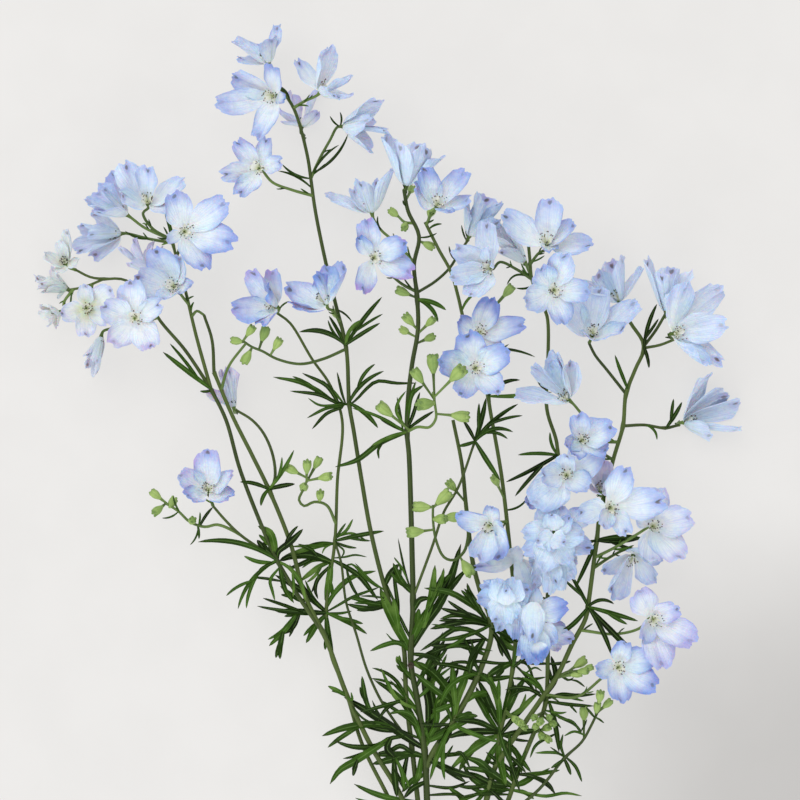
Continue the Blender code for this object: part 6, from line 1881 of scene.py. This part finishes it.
def bud_finish():
    """Green buds with darker knobs at their tips and darker seams between their sepals."""
    finish = Finish("bud", Roughness=0.5)
    along = finish.held("along")
    patches = finish.noise(420.0, 3.0)
    dark, light = (linear(green) for green in BUD_GREENS)
    colour = finish.mix(finish.blend(patches, finish.held("shade"), 0.6), dark, light)
    tip = finish.maths("MAXIMUM", finish.times(finish.held("bump"), finish.step(along, 0.3, 0.9)),
                       finish.times(finish.step(along, 0.8, 1.0), 0.6))
    colour = finish.toward(colour, BUD_TIP, tip, 0.7)
    seam = finish.step(finish.maths("COSINE", finish.times(finish.held("around"), 15.7)), 0.5, 1.0)
    colour = finish.toward(colour, BUD_SEAM, seam, 0.25)
    finish.bump(patches, 0.4, 0.5)
    return finish.colour(colour)


PAINTED_SHADE_SPOT = (0.28, -0.2)  # the middle of the patch of painted shade on the floor, in metres
PAINTED_SHADE_REACH = 0.05  # the square of its radius
PAINTED_SHADE_STRENGTH = 0.42


def floor_finish():
    """A pale sheet on a light table, with a patch of painted shade toward its lower right."""
    finish = Finish("pale_floor", Roughness=0.95, Specular_IOR_Level=0.1, Emission_Strength=1.0)
    grain = finish.noise(24.0, 4.0)
    place = finish.nodes.new("ShaderNodeSeparateXYZ")
    finish.links.new(finish.place(), place.inputs[0])
    # Painted shade: the floor's colour and its glow turn grey in a soft patch toward the lower right.
    from_spot = finish.away(place.outputs[0], place.outputs[1], PAINTED_SHADE_SPOT)
    painted_shade = finish.times(finish.below(from_spot, 0.0, PAINTED_SHADE_REACH), PAINTED_SHADE_STRENGTH)
    dark, light = (linear(grey) for grey in FLOOR_GREYS)
    colour = finish.mix(finish.step(grain, 0.3, 0.7), dark, light)
    glow = finish.toward(linear(FLOOR_GLOW), PAINTED_SHADE_GREY, painted_shade)
    finish.give(finish.shader.inputs["Emission Color"], glow)
    finish.bump(grain, 0.05, 1.0)
    return finish.colour(finish.toward(colour, PAINTED_SHADE_GREY, painted_shade))


# The stage, the lights and the camera, in metres and watts
FLOOR_SIZE = 12.0
WORLD_COLOUR = (1.0, 0.995, 0.985, 1.0)
WORLD_STRENGTH = 0.76
SENSOR_WIDTH = 36.0  # of the camera, in millimetres
CLIP_START, CLIP_END = 0.05, 50.0

# A lamp: its place, the width of its disk, its power and its colour.
Lamp = namedtuple("Lamp", "name place size power colour")

LAMPS = (
    Lamp("key", (-0.9, 1.1, 1.7), 2.6, 23.0, (1.0, 0.975, 0.945)),
    Lamp("fill", (-0.3, -1.9, 0.9), 1.8, 17.0, (0.97, 0.985, 1.0)),
)


def make_floor():
    """The sheet that the spray lies on."""
    bpy.ops.mesh.primitive_plane_add(size=FLOOR_SIZE, location=(0.0, 0.0, 0.0))
    floor = bpy.context.object
    floor.name = "floor"
    floor.data.materials.append(floor_finish())


def make_light(lamp):
    """A round soft light that looks at the middle of the spray."""
    light = bpy.data.lights.new(lamp.name, "AREA")
    light.shape = "DISK"
    light.size = lamp.size
    light.energy = lamp.power
    light.color = lamp.colour
    holder = bpy.data.objects.new(lamp.name, light)
    bpy.context.scene.collection.objects.link(holder)
    holder.location = lamp.place
    holder.rotation_euler = (-Vector(lamp.place)).to_track_quat("-Z", "Y").to_euler()


def make_lights():
    """An even light from all round, and the lamps."""
    world = bpy.data.worlds.new("soft studio")
    bpy.context.scene.world = world
    world.use_nodes = True
    background = world.node_tree.nodes["Background"]
    background.inputs["Color"].default_value = WORLD_COLOUR
    background.inputs["Strength"].default_value = WORLD_STRENGTH
    for lamp in LAMPS:
        make_light(lamp)


def make_camera():
    """The photograph's eye, straight above its middle pixel, whose view is as wide as its pixels."""
    camera = bpy.data.cameras.new("eye")
    camera.sensor_width = SENSOR_WIDTH
    camera.lens = SENSOR_WIDTH * EYE_HEIGHT / (PHOTO_PIXELS * PIXEL_SIZE)
    camera.clip_start, camera.clip_end = CLIP_START, CLIP_END
    eye = bpy.data.objects.new("eye", camera)
    bpy.context.scene.collection.objects.link(eye)
    eye.location = spot(EYE_PIXEL, EYE_HEIGHT / MM)
    bpy.context.scene.camera = eye


# The pieces
def make_flowers():
    """Each flower's sepals, and the petals, threads and anthers in its throat if that shows."""
    finishes = {tint: sepal_finish(tint) for tint in TINTS}
    petals, threads, anthers = petal_finish(), thread_finish(), anther_finish()
    for bloom in BLOOMS:
        name = f"flower_{bloom.number:02d}"
        shape = sepals(bloom).piece(f"{name}_sepals", finishes[bloom.tint], f"sepals_{bloom.tint}")
        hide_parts(f"bloom_{bloom.number:02d}")
        if bloom.number in LAID_SEPALS:
            continue
        place = bloom_frame(bloom)
        petal_surface = Surface("along", "across", "back")
        thread_surface = Surface("along")
        anther_surface = Surface("shade")
        throat_petals(petal_surface, bloom, place)
        stamens(thread_surface, anther_surface, bloom, place)
        petal_surface.piece(f"{name}_petals", petals)
        thread_surface.piece(f"{name}_threads", threads)
        anther_surface.piece(f"{name}_anthers", anthers)


# The scar of an old branch on the main stem, a sunken knob
SCAR_PIXEL = (411, 665)
SCAR_OUTLINE = ((0.0, 1.0), (0.45, 1.0), (0.8, 0.86), (1.0, 0.5), (0.9, 0.3), (0.7, 0.1))
SCAR_LIFT = Vector((0.0, 0.0, 2.1 * MM))  # from the stem's middle to the foot of the knob
SCAR_WAY = Vector((-0.2, 0.1, 1.0)).normalized()
SCAR_LENGTH = 1.6
SCAR_RADIUS = 1.9


def scar_surface(paths):
    """The knob of the scar, on the side of the stem that faces the eye."""
    surface = Surface("along")
    middle = nearest_on(paths["main"], spot(SCAR_PIXEL, MIDDLE_HEIGHT))
    add_outline(surface, middle + SCAR_LIFT, SCAR_WAY, SCAR_OUTLINE, SCAR_LENGTH, SCAR_RADIUS, 14,
                lobes=0.06)
    return surface


def scar_finish():
    """Dry, dark brown wood."""
    finish = Finish("branch_scar", Roughness=0.8)
    speckle = finish.noise(900.0, 3.0)
    dark, light = (linear(brown) for brown in SCAR_BROWNS)
    finish.bump(speckle, 0.5, 0.4)
    return finish.colour(finish.mix(speckle, dark, light))


def make_greens():
    """The stems, stalks, buds and leaves."""
    paths = stem_paths()
    stem_green = stem_finish("stem_green", *STEM_GREENS)
    stalk_green = stem_finish("stalk_green", *STALK_GREENS)
    stems = stem_surface(paths).piece("stems", stem_green, "green")
    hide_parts("stems_leaves_and_buds")
    stalk_surface(paths).piece("flower_stalks", stalk_green, "green")
    scar_surface(paths).piece("branch_scar", scar_finish())
    buds, bud_stalks = bud_surfaces(paths)
    buds.piece("buds", bud_finish(), "green")
    bud_stalks.piece("bud_stalks", stalk_green, "green")
    leaves = leaf_finish()
    leaf_surface(paths).piece("leaves", leaves, "green")
    bract_surface(paths).piece("bracts", leaves, "green")
    strap_surface(paths).piece("lone_leaves", leaves, "green")


make_flowers()
make_greens()
make_floor()
make_lights()
make_camera()
bpy.context.scene.view_settings.view_transform = "Standard"
